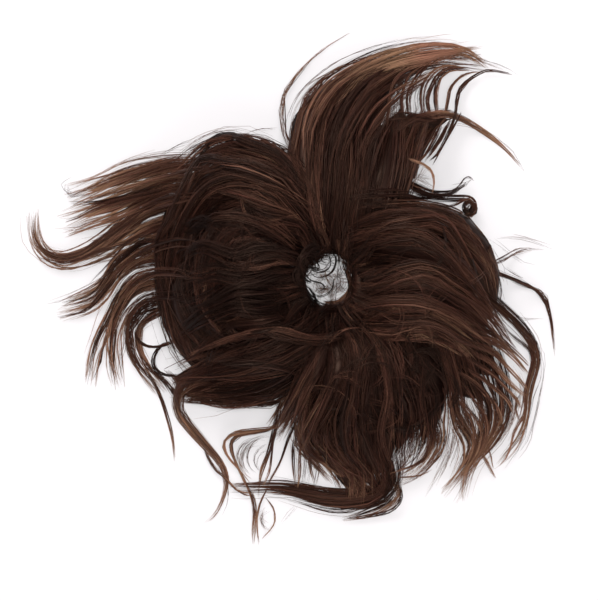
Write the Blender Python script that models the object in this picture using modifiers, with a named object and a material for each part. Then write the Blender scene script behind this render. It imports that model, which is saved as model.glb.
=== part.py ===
"""Top knot hairpiece: curled locks of false hair sewn round a small elastic loop, laid on a table.

Metres, +Z up. The table is z = 0, and the routes below are millimetres from the loop's centre,
with +Y up the picture. The finished part is moved so that its box is centred on X and Y.
"""

import math
from collections import namedtuple

import bmesh
import bpy
from mathutils import Vector

MM = 0.001

# Elastic loop and the band that the hair is sewn to
CORD_DIAMETER = 5.0
LOOP_INNER_DIAMETER = 34.0
LOOP_LIFT = 6.0
LOOP_STEPS = 32
CORD_SIDES = 8
BAND_GAP = 0.4
BAND_WALL = 2.0
BAND_BOTTOM = 1.0
BAND_TOP = 11.0

# Hair
PONYTAIL_DIAMETER = 28.0
RINGS_PER_SPAN = 2
FULLEST_AT = 0.35
REST_SHARE = 0.6
CLEARANCE = 0.35
LOCK_SWELL = 0.6
TALLEST = 80.0
WIDEST = 400.0

# A section is an oval with this many sides, and its thickness is a share of its width.
Section = namedtuple("Section", "sides thickness_share")
SECTIONS = {
    "body": Section(8, 0.85),
    "round": Section(6, 0.80),
    "oval": Section(6, 0.60),
    "thin": Section(5, 0.50),
}

# A lock is as wide as width where it is fullest, and root and tip are the shares of it at the ends.
# Each point of its route is the middle of the lock: right, up the picture, height.
Lock = namedtuple("Lock", "section width root tip route")

# The single locks that lie on top come first and stay whole. Each later piece is cut clear of
# those before it, so an outer lock ends where it goes into a lobe.
HAIR = {
    "stray_lock": [
        Lock("thin", 2.6, 1.0, 0.6, [(-15, 54, 27), (-20, 64, 21), (-25, 78, 8), (-24, 94, 2),
                                     (-8, 113, 1), (10, 125, 0)]),
    ],
    "notch_lock": [
        Lock("thin", 7.0, 0.7, 0.35, [(-8, 62, 25), (-10, 46, 32), (-8, 32, 36), (-2, 17, 27)]),
    ],
    "bridge_lock": [
        Lock("oval", 10.0, 0.6, 0.4, [(6, -26, 36), (-12, -29, 43), (-30, -24, 48), (-52, -29, 43),
                                      (-72, -36, 28)]),
    ],
    "plume_flick": [
        Lock("thin", 7.0, 0.6, 0.35, [(34, 66, 28), (44, 76, 22), (56, 81, 14), (70, 78, 5),
                                      (84, 69, 0), (97, 53, 0)]),
    ],
    "knob_curl": [
        Lock("oval", 7.0, 0.7, 0.6, [(32, 44, 32), (46, 42, 24), (60, 41, 16), (69, 41, 10), (72, 36, 8)]),
    ],
    "side_curl": [
        Lock("thin", 6.0, 0.7, 0.35, [(34, 57, 33), (43, 51, 27), (54, 47, 17), (68, 52, 3)]),
    ],
    "plume": [
        Lock("body", 40.0, 0.6, 0.5, [(5, 14, 23), (11, 38, 20), (18, 64, 15), (32, 88, 9)]),
        Lock("oval", 20.0, 0.7, 0.3, [(-6, 16, 24), (-9, 42, 27), (-8, 70, 18), (2, 94, 10),
                                      (26, 110, 4), (60, 114, 0)]),
        Lock("oval", 20.0, 0.7, 0.3, [(0, 14, 26), (4, 46, 34), (9, 76, 25), (24, 96, 14),
                                      (50, 108, 4), (76, 106, 0)]),
        Lock("oval", 18.0, 0.8, 0.3, [(6, 14, 26), (18, 46, 33), (26, 74, 23), (40, 92, 12),
                                      (62, 104, 2), (88, 103, 0)]),
        Lock("oval", 18.0, 0.8, 0.3, [(16, 16, 26), (33, 46, 27), (44, 70, 16), (54, 92, 5),
                                      (66, 104, 0)]),
        Lock("oval", 14.0, 0.8, 0.4, [(30, 26, 26), (46, 48, 19), (56, 70, 8), (62, 90, 1),
                                      (72, 102, 0)]),
    ],
    "right_crown": [
        Lock("round", 20.0, 0.7, 0.5, [(2, 15, 24), (20, 28, 30), (44, 29, 33), (64, 21, 29),
                                       (76, 6, 22), (79, -10, 15)]),
        Lock("oval", 24.0, 0.7, 0.4, [(6, 12, 25), (26, 21, 39), (46, 16, 43), (62, 2, 39),
                                      (74, -16, 30), (84, -30, 17)]),
    ],
    "right_main": [
        Lock("body", 48.0, 0.6, 0.5, [(8, 4, 22), (34, 5, 19), (54, -5, 18), (63, -24, 15),
                                      (60, -42, 11)]),
        Lock("oval", 18.0, 0.8, 0.3, [(8, -2, 25), (30, -1, 43), (50, -2, 45), (70, -16, 32),
                                      (90, -36, 8)]),
        Lock("oval", 16.0, 0.9, 0.4, [(6, -8, 25), (26, -11, 40), (46, -13, 43), (62, -22, 35),
                                      (78, -36, 20)]),
        Lock("oval", 14.0, 1.0, 0.5, [(6, -12, 25), (26, -22, 34), (44, -21, 38), (58, -27, 32),
                                      (70, -38, 22)]),
    ],
    "bottom_fall": [
        Lock("body", 40.0, 0.6, 0.5, [(3, -14, 22), (5, -36, 15), (3, -58, 13), (1, -78, 8)]),
        Lock("oval", 17.0, 0.8, 0.4, [(-3, -12, 25), (-7, -40, 36), (-14, -58, 27), (-22, -72, 14)]),
        Lock("oval", 17.0, 0.8, 0.3, [(0, -13, 25), (3, -42, 37), (-5, -64, 27), (-17, -88, 5)]),
        Lock("oval", 17.0, 0.8, 0.3, [(3, -13, 25), (12, -38, 36), (8, -60, 29), (7, -82, 14),
                                      (15, -101, 4)]),
        Lock("oval", 16.0, 0.8, 0.4, [(6, -13, 25), (20, -40, 31), (19, -64, 22), (19, -94, 6)]),
        Lock("oval", 15.0, 0.8, 0.4, [(8, -12, 25), (25, -38, 33), (27, -58, 27), (26, -86, 9)]),
    ],
    "left_crown": [
        Lock("round", 20.0, 0.7, 0.5, [(-8, 18, 24), (-23, 48, 27), (-42, 62, 23), (-62, 61, 15),
                                       (-80, 46, 8)]),
        Lock("oval", 26.0, 0.6, 0.5, [(-10, 16, 26), (-30, 42, 38), (-52, 49, 36), (-70, 36, 26),
                                      (-78, 8, 13), (-75, -20, 8), (-70, -38, 6)]),
    ],
    "left_main": [
        Lock("body", 50.0, 0.6, 0.5, [(-9, 10, 22), (-36, 28, 19), (-57, 14, 18), (-58, -10, 17),
                                      (-44, -32, 13)]),
        Lock("oval", 24.0, 0.6, 0.5, [(-8, 12, 26), (-34, 28, 43), (-54, 22, 46), (-62, -2, 42),
                                      (-52, -30, 29)]),
        Lock("oval", 22.0, 0.7, 0.5, [(-9, 6, 26), (-28, 13, 43), (-44, 6, 48), (-47, -10, 45),
                                      (-38, -27, 34)]),
        Lock("oval", 16.0, 1.0, 0.6, [(-10, -2, 25), (-26, 0, 39), (-34, -9, 41), (-28, -21, 35),
                                      (-12, -27, 28)]),
        Lock("oval", 14.0, 1.0, 0.8, [(-8, -8, 25), (-18, -11, 34), (-24, -20, 32), (-16, -30, 26)]),
    ],
    "bottom_left_roll": [
        Lock("round", 30.0, 0.6, 0.4, [(-3, -14, 24), (-22, -31, 30), (-48, -37, 30), (-80, -48, 9)]),
        Lock("body", 28.0, 0.7, 0.4, [(-5, -24, 18), (-26, -43, 14), (-50, -48, 13), (-79, -54, 5)]),
        Lock("round", 16.0, 0.8, 0.4, [(-12, -44, 8), (-32, -54, 6), (-54, -57, 5), (-75, -56, 3)]),
    ],
    "left_sweep": [
        Lock("thin", 15.0, 1.0, 0.2, [(-66, 56, 13), (-82, 56, 7), (-98, 53, 2), (-115, 47, 0),
                                      (-133, 41, 0)]),
        Lock("thin", 15.0, 1.0, 0.2, [(-70, 47, 13), (-84, 46, 8), (-98, 41, 2), (-118, 34, 0),
                                      (-136, 28, 0)]),
        Lock("thin", 15.0, 1.0, 0.2, [(-72, 37, 14), (-85, 36, 8), (-99, 30, 3), (-118, 16, 0),
                                      (-138, 11, 0), (-148, 20, 0), (-149, 36, 0)]),
    ],
    "left_fan": [
        Lock("thin", 10.0, 1.0, 0.25, [(-76, 18, 12), (-92, 17, 5), (-107, 10, 0), (-115, -2, 0),
                                       (-136, -12, 0)]),
        Lock("thin", 10.0, 1.0, 0.25, [(-76, 10, 12), (-92, 10, 5), (-105, 5, 0), (-118, -11, 0),
                                       (-138, -19, 0)]),
        Lock("thin", 10.0, 1.0, 0.2, [(-74, 3, 12), (-90, 3, 5), (-102, -2, 0), (-112, -18, 0),
                                      (-120, -35, 0), (-123, -52, 0)]),
        Lock("thin", 10.0, 1.0, 0.2, [(-74, -4, 12), (-90, -4, 5), (-101, -9, 0), (-109, -22, 0),
                                      (-110, -38, 0), (-108, -53, 0)]),
        Lock("thin", 9.0, 1.0, 0.3, [(-72, -11, 12), (-89, -12, 4), (-99, -18, 0), (-101, -30, 0),
                                     (-94, -44, 0), (-86, -55, 0)]),
    ],
    "wavy_tail": [
        Lock("thin", 7.0, 1.0, 0.3, [(-72, -42, 9), (-80, -50, 2), (-79, -64, 0), (-65, -80, 0),
                                     (-54, -96, 0), (-56, -112, 0), (-63, -120, 0)]),
        Lock("thin", 5.0, 1.0, 0.4, [(-80, -51, 1), (-85, -61, 0), (-81, -74, 0), (-80, -90, 0)]),
    ],
    "bottom_curls": [
        Lock("thin", 8.0, 1.0, 0.2, [(-18, -66, 20), (-31, -74, 8), (-50, -76, 0), (-54, -87, 0),
                                     (-41, -102, 0), (-38, -120, 0), (-42, -137, 0)]),
        Lock("thin", 7.0, 1.0, 0.5, [(-14, -70, 16), (-22, -82, 6), (-30, -94, 1), (-39, -105, 0)]),
    ],
    "bottom_sweep": [
        Lock("thin", 12.0, 0.8, 0.3, [(27, -86, 10), (29, -99, 5), (20, -108, 1), (0, -109, 0),
                                      (-31, -102, 0)]),
        Lock("thin", 5.0, 1.0, 0.4, [(28, -96, 4), (33, -107, 0), (20, -116, 0), (5, -119, 0)]),
    ],
    "right_fan": [
        Lock("oval", 20.0, 0.9, 0.25, [(45, -24, 24), (39, -50, 18), (40, -66, 9), (47, -82, 2),
                                       (38, -95, 0)]),
        Lock("oval", 20.0, 0.9, 0.2, [(57, -24, 27), (57, -54, 18), (60, -72, 7), (66, -88, 0),
                                      (63, -104, 0)]),
        Lock("oval", 18.0, 0.9, 0.2, [(69, -24, 25), (74, -54, 15), (75, -74, 5), (66, -90, 0),
                                      (54, -107, 0)]),
        Lock("oval", 16.0, 0.9, 0.25, [(80, -30, 19), (88, -50, 10), (87, -70, 3), (78, -86, 0),
                                       (80, -98, 0)]),
    ],
    "right_edge_lock": [
        Lock("thin", 9.0, 0.8, 0.3, [(68, -1, 22), (82, -11, 12), (96, -24, 2), (102, -38, 0),
                                     (97, -58, 0), (94, -76, 0), (84, -91, 0)]),
    ],
    "right_flick": [
        Lock("thin", 5.0, 1.0, 0.35, [(72, 8, 20), (83, 4, 8), (100, -3, 0), (108, -14, 0),
                                      (111, -38, 0)]),
        Lock("thin", 4.5, 1.0, 0.35, [(70, 9, 20), (82, 10, 9), (94, 16, 0), (109, 15, 0)]),
    ],
}

HAIR_COLOURS = {"dark": (0.030, 0.014, 0.011), "mid": (0.058, 0.027, 0.020), "light": (0.110, 0.055, 0.036)}
TONES = {"bridge_lock": "light", "notch_lock": "light", "plume": "mid", "plume_flick": "light",
         "left_sweep": "mid", "left_fan": "mid", "right_edge_lock": "mid", "right_flick": "mid",
         "bottom_curls": "mid", "wavy_tail": "mid"}


def clear_scene():
    for obj in list(bpy.data.objects):
        bpy.data.objects.remove(obj)


def new_collection(name):
    collection = bpy.data.collections.new(name)
    bpy.context.scene.collection.children.link(collection)
    return collection


def plain_material(name, colour, roughness):
    material = bpy.data.materials.new(name)
    material.use_nodes = True
    shader = material.node_tree.nodes["Principled BSDF"]
    shader.inputs["Base Color"].default_value = (*colour, 1.0)
    shader.inputs["Roughness"].default_value = roughness
    shader.inputs["Metallic"].default_value = 0.0
    return material


def evaluated_mesh(obj):
    bpy.context.view_layer.update()
    graph = bpy.context.evaluated_depsgraph_get()
    return bpy.data.meshes.new_from_object(obj.evaluated_get(graph))


def as_helper(obj):
    obj.hide_render = True
    obj.display_type = "WIRE"
    return obj


def section_profile(name, section, collection):
    """The oval that is swept along a lock, one unit from its middle to its side."""
    outline = bpy.data.curves.new(name + "_section", "CURVE")
    outline.dimensions = "2D"
    spline = outline.splines.new("POLY")
    spline.points.add(section.sides - 1)
    for index, point in enumerate(spline.points):
        from_top = math.tau * index / section.sides
        point.co = (math.sin(from_top), section.thickness_share * math.cos(from_top), 0, 1)
    spline.use_cyclic_u = True
    obj = bpy.data.objects.new(name + "_section", outline)
    collection.objects.link(obj)
    return as_helper(obj)


def fullness(along, root, tip):
    """The share of a lock's width at this share of its route, eased from root to full to tip."""
    if along < FULLEST_AT:
        start, end, share = root, 1.0, along / FULLEST_AT
    else:
        start, end, share = 1.0, tip, (along - FULLEST_AT) / (1.0 - FULLEST_AT)
    return start + (end - start) * 0.5 * (1.0 - math.cos(math.pi * share))


def lock_mesh(name, lock, profiles, collection):
    """A tapered lock swept along its route, as a closed mesh that may dip below the table."""
    curve = bpy.data.curves.new(name, "CURVE")
    curve.dimensions = "3D"
    curve.twist_mode = "Z_UP"
    curve.resolution_u = RINGS_PER_SPAN
    curve.bevel_mode = "OBJECT"
    curve.bevel_object = profiles[lock.section]
    curve.use_fill_caps = True
    spline = curve.splines.new("BEZIER")
    spline.bezier_points.add(len(lock.route) - 1)
    for index, (point, place) in enumerate(zip(spline.bezier_points, lock.route)):
        along = index / (len(lock.route) - 1)
        half_width = 0.5 * lock.width * fullness(along, lock.root, lock.tip)
        half_thickness = half_width * SECTIONS[lock.section].thickness_share
        height = max(place[2], REST_SHARE * half_thickness)
        point.co = Vector((place[0], place[1], height)) * MM
        point.radius = half_width * MM
        point.handle_left_type = point.handle_right_type = "AUTO"
    swept = bpy.data.objects.new(name, curve)
    collection.objects.link(swept)
    mesh = evaluated_mesh(swept)
    bpy.data.objects.remove(swept)
    shape = bmesh.new()
    shape.from_mesh(mesh)
    bmesh.ops.remove_doubles(shape, verts=shape.verts, dist=0.00001)
    bmesh.ops.triangulate(shape, faces=shape.faces)
    bmesh.ops.recalc_face_normals(shape, faces=shape.faces)
    shape.to_mesh(mesh)
    shape.free()
    return mesh


def swollen(name, mesh, collection):
    """A lock's cutter: the same lock, fatter all round by the clearance."""
    obj = bpy.data.objects.new(name, mesh)
    collection.objects.link(obj)
    grow = obj.modifiers.new("clearance", "DISPLACE")
    grow.direction = "NORMAL"
    grow.strength = LOCK_SWELL * MM
    grow.mid_level = 0.0
    return as_helper(obj)


def bodies_of(shape):
    """The separate bodies of a mesh, each a set of faces."""
    left = set(shape.faces)
    while left:
        body, edge = set(), [left.pop()]
        while edge:
            face = edge.pop()
            body.add(face)
            for side in face.edges:
                near = [other for other in side.link_faces if other in left]
                left.difference_update(near)
                edge.extend(near)
        yield body


def size_of(faces):
    """Six times the volume that the faces close."""
    total = 0.0
    for face in faces:
        first, *others = [vert.co for vert in face.verts]
        for second, third in zip(others, others[1:]):
            total += first.dot(second.cross(third))
    return total


def keep_main_body(mesh):
    """Removes the scraps that cutting leaves beside the main body."""
    shape = bmesh.new()
    shape.from_mesh(mesh)
    bodies = list(bodies_of(shape))
    main = max(bodies, key=size_of)
    scraps = [face for body in bodies if body is not main for face in body]
    bmesh.ops.delete(shape, geom=scraps, context="FACES")
    shape.to_mesh(mesh)
    shape.free()


def boolean(obj, operation, others):
    change = obj.modifiers.new(operation.lower(), "BOOLEAN")
    change.operation = operation
    change.operand_type = "COLLECTION"
    change.collection = others
    change.solver = "EXACT"


def fused_locks(name, meshes, cutters, helpers, collection):
    """One hair piece: its locks joined to each other and cut clear of the table and its neighbours."""
    joined = bpy.data.collections.new(name + "_locks")
    helpers.children.link(joined)
    for index, mesh in enumerate(meshes[1:]):
        other = bpy.data.objects.new(f"{name}_lock_{index + 1}", mesh)
        joined.objects.link(as_helper(other))
    obj = bpy.data.objects.new(name, meshes[0])
    collection.objects.link(obj)
    if joined.objects:
        boolean(obj, "UNION", joined)
    boolean(obj, "DIFFERENCE", cutters)
    mesh = evaluated_mesh(obj)
    obj.modifiers.clear()
    obj.data = mesh
    keep_main_body(mesh)
    mesh.name = name
    return obj


def table_block(collection):
    """What lies below the table's surface, to cut the locks flat."""
    bpy.ops.mesh.primitive_cube_add(size=1.0, location=(0, 0, -0.5 * TALLEST * MM))
    obj = bpy.context.object
    obj.name = "below_table"
    obj.scale = (WIDEST * MM, WIDEST * MM, TALLEST * MM)
    move_to(obj, collection)
    return as_helper(obj)


def cylinder(name, diameter, bottom, top, collection):
    bpy.ops.mesh.primitive_cylinder_add(
        vertices=LOOP_STEPS,
        radius=0.5 * diameter * MM,
        depth=(top - bottom) * MM,
        location=(0, 0, 0.5 * (top + bottom) * MM),
    )
    obj = bpy.context.object
    obj.name = name
    move_to(obj, collection)
    return obj


def move_to(obj, collection):
    for other in list(obj.users_collection):
        other.objects.unlink(obj)
    collection.objects.link(obj)


def elastic_loop(collection):
    bpy.ops.mesh.primitive_torus_add(
        major_radius=0.5 * (LOOP_INNER_DIAMETER + CORD_DIAMETER) * MM,
        minor_radius=0.5 * CORD_DIAMETER * MM,
        major_segments=LOOP_STEPS,
        minor_segments=CORD_SIDES,
        location=(0, 0, LOOP_LIFT * MM),
    )
    obj = bpy.context.object
    obj.name = "elastic_loop"
    obj.data.shade_smooth()
    obj.data.materials.append(plain_material("elastic_loop", (0.012, 0.010, 0.010), 0.7))
    move_to(obj, collection)
    return obj


def band_inner_radius():
    return 0.5 * LOOP_INNER_DIAMETER + CORD_DIAMETER + BAND_GAP


def weft_band(collection):
    """A short tube round the loop: a square-edged profile turned about the loop's axis."""
    inner = band_inner_radius()
    outer = inner + BAND_WALL
    corners = [(outer, BAND_TOP), (outer, BAND_BOTTOM), (inner, BAND_BOTTOM), (inner, BAND_TOP)]
    mesh = bpy.data.meshes.new("weft_band")
    points = [(radius * MM, 0, height * MM) for radius, height in corners]
    mesh.from_pydata(points, [(0, 1), (1, 2), (2, 3), (3, 0)], [])
    obj = bpy.data.objects.new("weft_band", mesh)
    collection.objects.link(obj)
    turn = obj.modifiers.new("turn", "SCREW")
    turn.steps = turn.render_steps = LOOP_STEPS
    turn.use_merge_vertices = True
    turn.merge_threshold = 0.00005
    obj.data.materials.append(plain_material("weft_band", (0.020, 0.011, 0.009), 0.85))
    return obj


def centre_on_box(objects):
    """Moves the whole part so that its box is centred over the origin."""
    bpy.context.view_layer.update()
    corners = [obj.matrix_world @ Vector(corner) for obj in objects for corner in obj.bound_box]
    for axis in (0, 1):
        places = [corner[axis] for corner in corners]
        for obj in objects:
            obj.location[axis] -= 0.5 * (min(places) + max(places))


def build():
    clear_scene()
    part = new_collection("top_knot_hairpiece")
    helpers = new_collection("cutters")
    profiles = {name: section_profile(name, section, helpers) for name, section in SECTIONS.items()}
    cutters = bpy.data.collections.new("clear_of")
    helpers.children.link(cutters)
    table_block(cutters)
    as_helper(cylinder("ponytail_space", PONYTAIL_DIAMETER, -TALLEST, TALLEST, cutters))
    band_outer = 2.0 * (band_inner_radius() + BAND_WALL + CLEARANCE)
    as_helper(cylinder("loop_space", band_outer, -TALLEST, BAND_TOP + CLEARANCE, cutters))
    pieces = [elastic_loop(part), weft_band(part)]
    for name, locks in HAIR.items():
        meshes = [lock_mesh(f"{name}_{index}", lock, profiles, helpers) for index, lock in enumerate(locks)]
        piece = fused_locks(name, meshes, cutters, helpers, part)
        colour = HAIR_COLOURS[TONES.get(name, "dark")]
        piece.data.materials.clear()
        piece.data.materials.append(plain_material(name, colour, 0.45))
        pieces.append(piece)
        for index, mesh in enumerate(meshes):
            swollen(f"{name}_clear_{index}", mesh, cutters)
    centre_on_box(pieces)


build()
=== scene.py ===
"""Looks of the top knot hairpiece: strands of wavy dark brown false hair over the lobes of its frame."""

import math
from collections import namedtuple

import bpy
import numpy as np
from mathutils import Matrix, Vector
from mathutils.bvhtree import BVHTree


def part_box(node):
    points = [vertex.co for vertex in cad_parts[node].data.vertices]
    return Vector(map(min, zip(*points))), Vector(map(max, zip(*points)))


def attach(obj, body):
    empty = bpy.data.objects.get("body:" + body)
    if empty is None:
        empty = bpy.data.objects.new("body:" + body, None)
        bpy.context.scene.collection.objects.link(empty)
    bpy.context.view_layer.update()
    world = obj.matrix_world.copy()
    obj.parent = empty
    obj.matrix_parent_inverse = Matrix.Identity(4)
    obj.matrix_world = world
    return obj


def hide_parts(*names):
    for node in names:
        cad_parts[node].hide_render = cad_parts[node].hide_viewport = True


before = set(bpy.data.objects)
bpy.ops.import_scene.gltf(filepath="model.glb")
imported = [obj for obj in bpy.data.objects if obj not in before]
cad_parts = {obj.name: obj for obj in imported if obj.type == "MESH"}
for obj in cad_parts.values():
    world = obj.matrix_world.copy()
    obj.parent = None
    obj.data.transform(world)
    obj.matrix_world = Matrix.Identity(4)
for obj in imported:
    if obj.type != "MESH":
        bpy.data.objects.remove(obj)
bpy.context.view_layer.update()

MM = 0.001
UP = np.array((0.0, 0.0, 1.0))

# Places come from the loop's centre, on the table
loop_low, loop_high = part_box("elastic_loop")
LOOP_CENTRE = 0.5 * (np.array(loop_low) + np.array(loop_high)) * (1.0, 1.0, 0.0)

# A lock's route is in millimetres: right, up the picture, height. A route without heights lies on
# what is under it, lift above it. Width is where it is fullest; root and tip are shares of it.
# Tone runs from 0, the darkest, to 1. Wave is the wander of its wisps and frizz that of its fibres,
# in millimetres, and step the length of a fibre's straight pieces. Core is the share of the section
# that its dark body fills, fine the share of the usual width that its fibres have, early the share of
# the route over which they begin, and a rooted lock comes out of the elastic. Clump is the breadth of
# its wisps: under 1 they stand apart. Ripe is how far its far end has the lighter colour of hair ends.
# Body is the share of each wisp that is solid, and ends that of the route over which its fibres end.
# The low tones of locks that lie in hollows and valleys are partly painted shade
USUAL = {"thickness": None, "root": 0.7, "tip": 0.3, "tone": 0.3, "wisps": 14, "strands": 14, "wave": 16.0,
         "frizz": 1.6, "step": 11.0, "core": 0.66, "fine": 1.0, "early": 0.05, "lift": 1.0, "rooted": False,
         "clump": 1.1, "ripe": 0.8, "body": 0.35, "ends": 0.42}
Lock = namedtuple("Lock", ("route", "width", *USUAL), defaults=USUAL.values())


def maker(order, **usual):
    """Makes a kind of lock: route, then numbers in this order, then what else is not as usual."""
    def make(route, *given, **changes):
        return Lock(route, **{**usual, **dict(zip(order.split(), given)), **changes})
    return make


# Dark packed hair inside, with no loose fibres of its own
filler = maker("width thickness", root=0.8, tip=0.9, tone=0.1, wisps=1, strands=1, core=1.0, body=0.0)
# The dark heart of a lobe, its outer locks, and hair packed under and between those
inner = maker("width thickness tone root", tip=0.5, core=0.85, wisps=7, strands=9, rooted=True)
outer = maker("width thickness tip tone wisps", strands=10, rooted=True)
bulk = maker("width thickness tip tone core", wisps=12, strands=9)
# An outer lock in thin separate strands
loose = maker("width thickness tip tone wisps", root=1.0, tip=0.9, tone=0.72, wisps=14, strands=8, wave=9.0,
              frizz=0.7, step=6.0, core=0.0, fine=0.6, clump=0.45, ripe=1.0, body=0.33, ends=0.3)

# Thin locks that lie on whatever is under them
LAID = {"width": 4.0, "root": 0.6, "tip": 0.6, "tone": 0.4, "wisps": 6, "strands": 5, "wave": 5.0,
        "frizz": 1.5, "step": 5.5, "core": 0.0, "lift": 2.0, "fine": 0.8, "early": 0.4, "clump": 0.8,
        "ripe": 0.6, "body": 0.4, "ends": 0.3}
laid = maker("width tone wisps", **LAID)
draped = maker("width tone wisps", **{**LAID, "lift": 3.0})
teased = maker("width tone", **{**LAID, "lift": 2.5, "clump": 1.1, "fine": 0.6})
# Strands of the right fan, narrow single curls, and strands that draw together at the plume's end
CRISP = {**LAID, "frizz": 0.6, "body": 0.5}
SINGLE = {**CRISP, "wisps": 3, "ends": 0.25, "fine": 0.7, "ripe": 1.0}
strand = maker("width tone", **{**SINGLE, "strands": 7, "wave": 1.2, "step": 4.5, "early": 0.2,
                                "lift": 1.5})
curled = maker("width tone", **{**SINGLE, "strands": 6, "wave": 0.8, "step": 3.5, "early": 0.15,
                                "lift": 1.0})
ending = maker("width tone", **{**CRISP, "wisps": 4, "strands": 7, "wave": 1.5, "step": 4.0, "early": 0.1,
                                "ends": 0.2, "lift": 1.0})
# A few single hairs, and what makes a tangle one of single hairs
faint = maker("wisps strands wave", **{**LAID, "width": 3.0, "wisps": 3, "strands": 2, "wave": 6.0,
                                       "frizz": 3.0, "fine": 0.55, "root": 1.0, "tip": 1.0, "tone": 0.6,
                                       "body": 0.0})
HAIRS = {"wisps": 3, "strands": 2, "fine": 0.55, "body": 0.0, "frizz": 2.0, "step": 5.0}


def curl(across, up, radius, start, turns):
    """A flat curl of hair round a point, from an angle in degrees."""
    angles = [math.radians(start + 360.0 * turns * share / 10.0) for share in range(11)]
    return [(across + radius * math.cos(angle), up + radius * math.sin(angle)) for angle in angles]


def tangle(count, low, high, size, seed, lightest=0.5, **changes):
    """Short curved strands that lie every way inside a box, as in teased hair."""
    luck = np.random.default_rng(seed)
    strands = []
    for _ in range(count):
        x, y = luck.uniform(low, high)
        radius = luck.uniform(*size)
        start, way = luck.uniform(0.0, 360.0), luck.choice((-1.0, 1.0))
        route = curl(x, y, radius, start, way * luck.uniform(0.2, 0.45))
        values = {"wisps": 3, "strands": 4, "step": 4.0, "lift": luck.uniform(1.5, 3.5)}
        width, tone = luck.uniform(2.0, 5.0), luck.uniform(0.0, lightest)
        strands.append(laid(route, width, tone, **{**values, **changes}))
    return strands


def spokes(first, last, count, nearest, furthest, seed, **changes):
    """Strands that come out of the hole, at angles in degrees, from about this near to this far."""
    luck = np.random.default_rng(seed)
    strands = []
    for angle in np.linspace(first, last, count):
        bend = luck.uniform(-8.0, 14.0)
        start = nearest + luck.uniform(-1.5, 1.5)
        turns = [(start + (furthest - start) * share, math.radians(angle + bend * share))
                 for share in (0.0, 0.33, 0.66, 1.0)]
        values = {"wisps": 4, "strands": 4, "step": 4.5, "wave": 3.0, "early": 0.25,
                  "lift": luck.uniform(1.5, 2.5), "tone": luck.uniform(0.1, 0.4)}
        route = [(reach * math.cos(turn), reach * math.sin(turn)) for reach, turn in turns]
        strands.append(laid(route, 5.0, **{**values, **changes}))
    return strands


# Each piece's locks, and then the thin locks and single hairs that show on top or at the edge
HAIR = {}

HAIR["stray_lock"] = [
    Lock([(-15, 54, 27), (-20, 64, 21), (-25, 78, 8), (-24, 94, 2), (-8, 113, 1), (10, 125, 0)], 2.6, root=1,
         tip=0.5, tone=0.6, wisps=3, strands=4, wave=1, frizz=0.6, core=0, fine=0.6),
    faint([(-20, 73), (-19, 88), (-14, 96), (-2, 103), (24, 116)], 2),
    faint([(-16, 50), (-22, 66), (-25, 82), (-21, 98), (-8, 112), (6, 122)], 2, 1),
]

HAIR["notch_lock"] = [
    Lock([(-8, 62, 25), (-10, 46, 32), (-8, 32, 36), (-2, 17, 27)], 5, tone=0.5, wisps=6, strands=12, wave=2,
         core=0.5),
    laid([(-19, 70), (-18, 60), (-13, 50), (-9, 40), (-8, 31), (-5, 23), (-1, 15)], 4, 0.45, lift=1),
    laid([(-13, 58), (-12, 44), (-11, 34), (-8, 24), (-4, 17)], 3, 0.4, 4),
]

HAIR["bridge_lock"] = [
    Lock([(6, -26, 36), (-12, -29, 43), (-30, -24, 48), (-52, -29, 43), (-72, -36, 28)], 6, tone=0.35,
         wisps=7, strands=12, wave=3, core=0.5),
    laid([(4, -28), (-12, -28), (-24, -24), (-36, -24), (-46, -26), (-56, -30), (-72, -37)], 3, 0.5, 5,
         lift=1.5),
]

HAIR["plume_flick"] = [
    loose([(40, 78, 18), (53, 83, 12), (63, 81, 8), (76, 74, 1), (86, 66, 0), (96, 55, 0)], 4, 3, 0.3, 0.85,
          6, strands=10, wave=1.5, step=4.5, clump=0.8),
    faint([(44, 70), (60, 78), (76, 74), (92, 62), (100, 50)], 3, 1),
]

HAIR["knob_curl"] = [
    Lock([(28, 44, 30), (36, 42, 28), (42, 41, 24), (48, 40, 20)], 6, tip=0.5, tone=0.35, wisps=6,
         strands=10, wave=2, step=4, core=0.5),
    loose([(40, 43, 26), (50, 42, 20), (60, 41, 14), (66, 41, 10), (69, 40, 8), (70, 37, 7), (68, 33, 6),
           (65, 34, 6)], 4, 3, 0.9, 0.35, 7, wave=1, step=2.5, clump=0.7),
    filler([(65, 36, 5), (67, 34, 5), (70, 35, 5), (70, 38, 5), (68, 39, 5), (66, 38, 5)], 4.5, 3),
    *[laid(curl(68, 37, size, start, 0.95), 2.4, tone, 4, strands=6, step=2, wave=1,
           frizz=1.4, clump=1.2, lift=height)
      for size, start, height, tone in ((2.8, 60, 3, 0.5), (2.2, 200, 3.5, 0.4), (1.2, 0, 3, 0.5),
                                        (2.8, 300, 2, 0.3))],
    laid([(54, 38), (60, 38), (66, 41), (69, 41), (70, 38)], 1.6, 0.45, 4, wave=0.8, step=3, lift=2.5),
]

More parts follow.
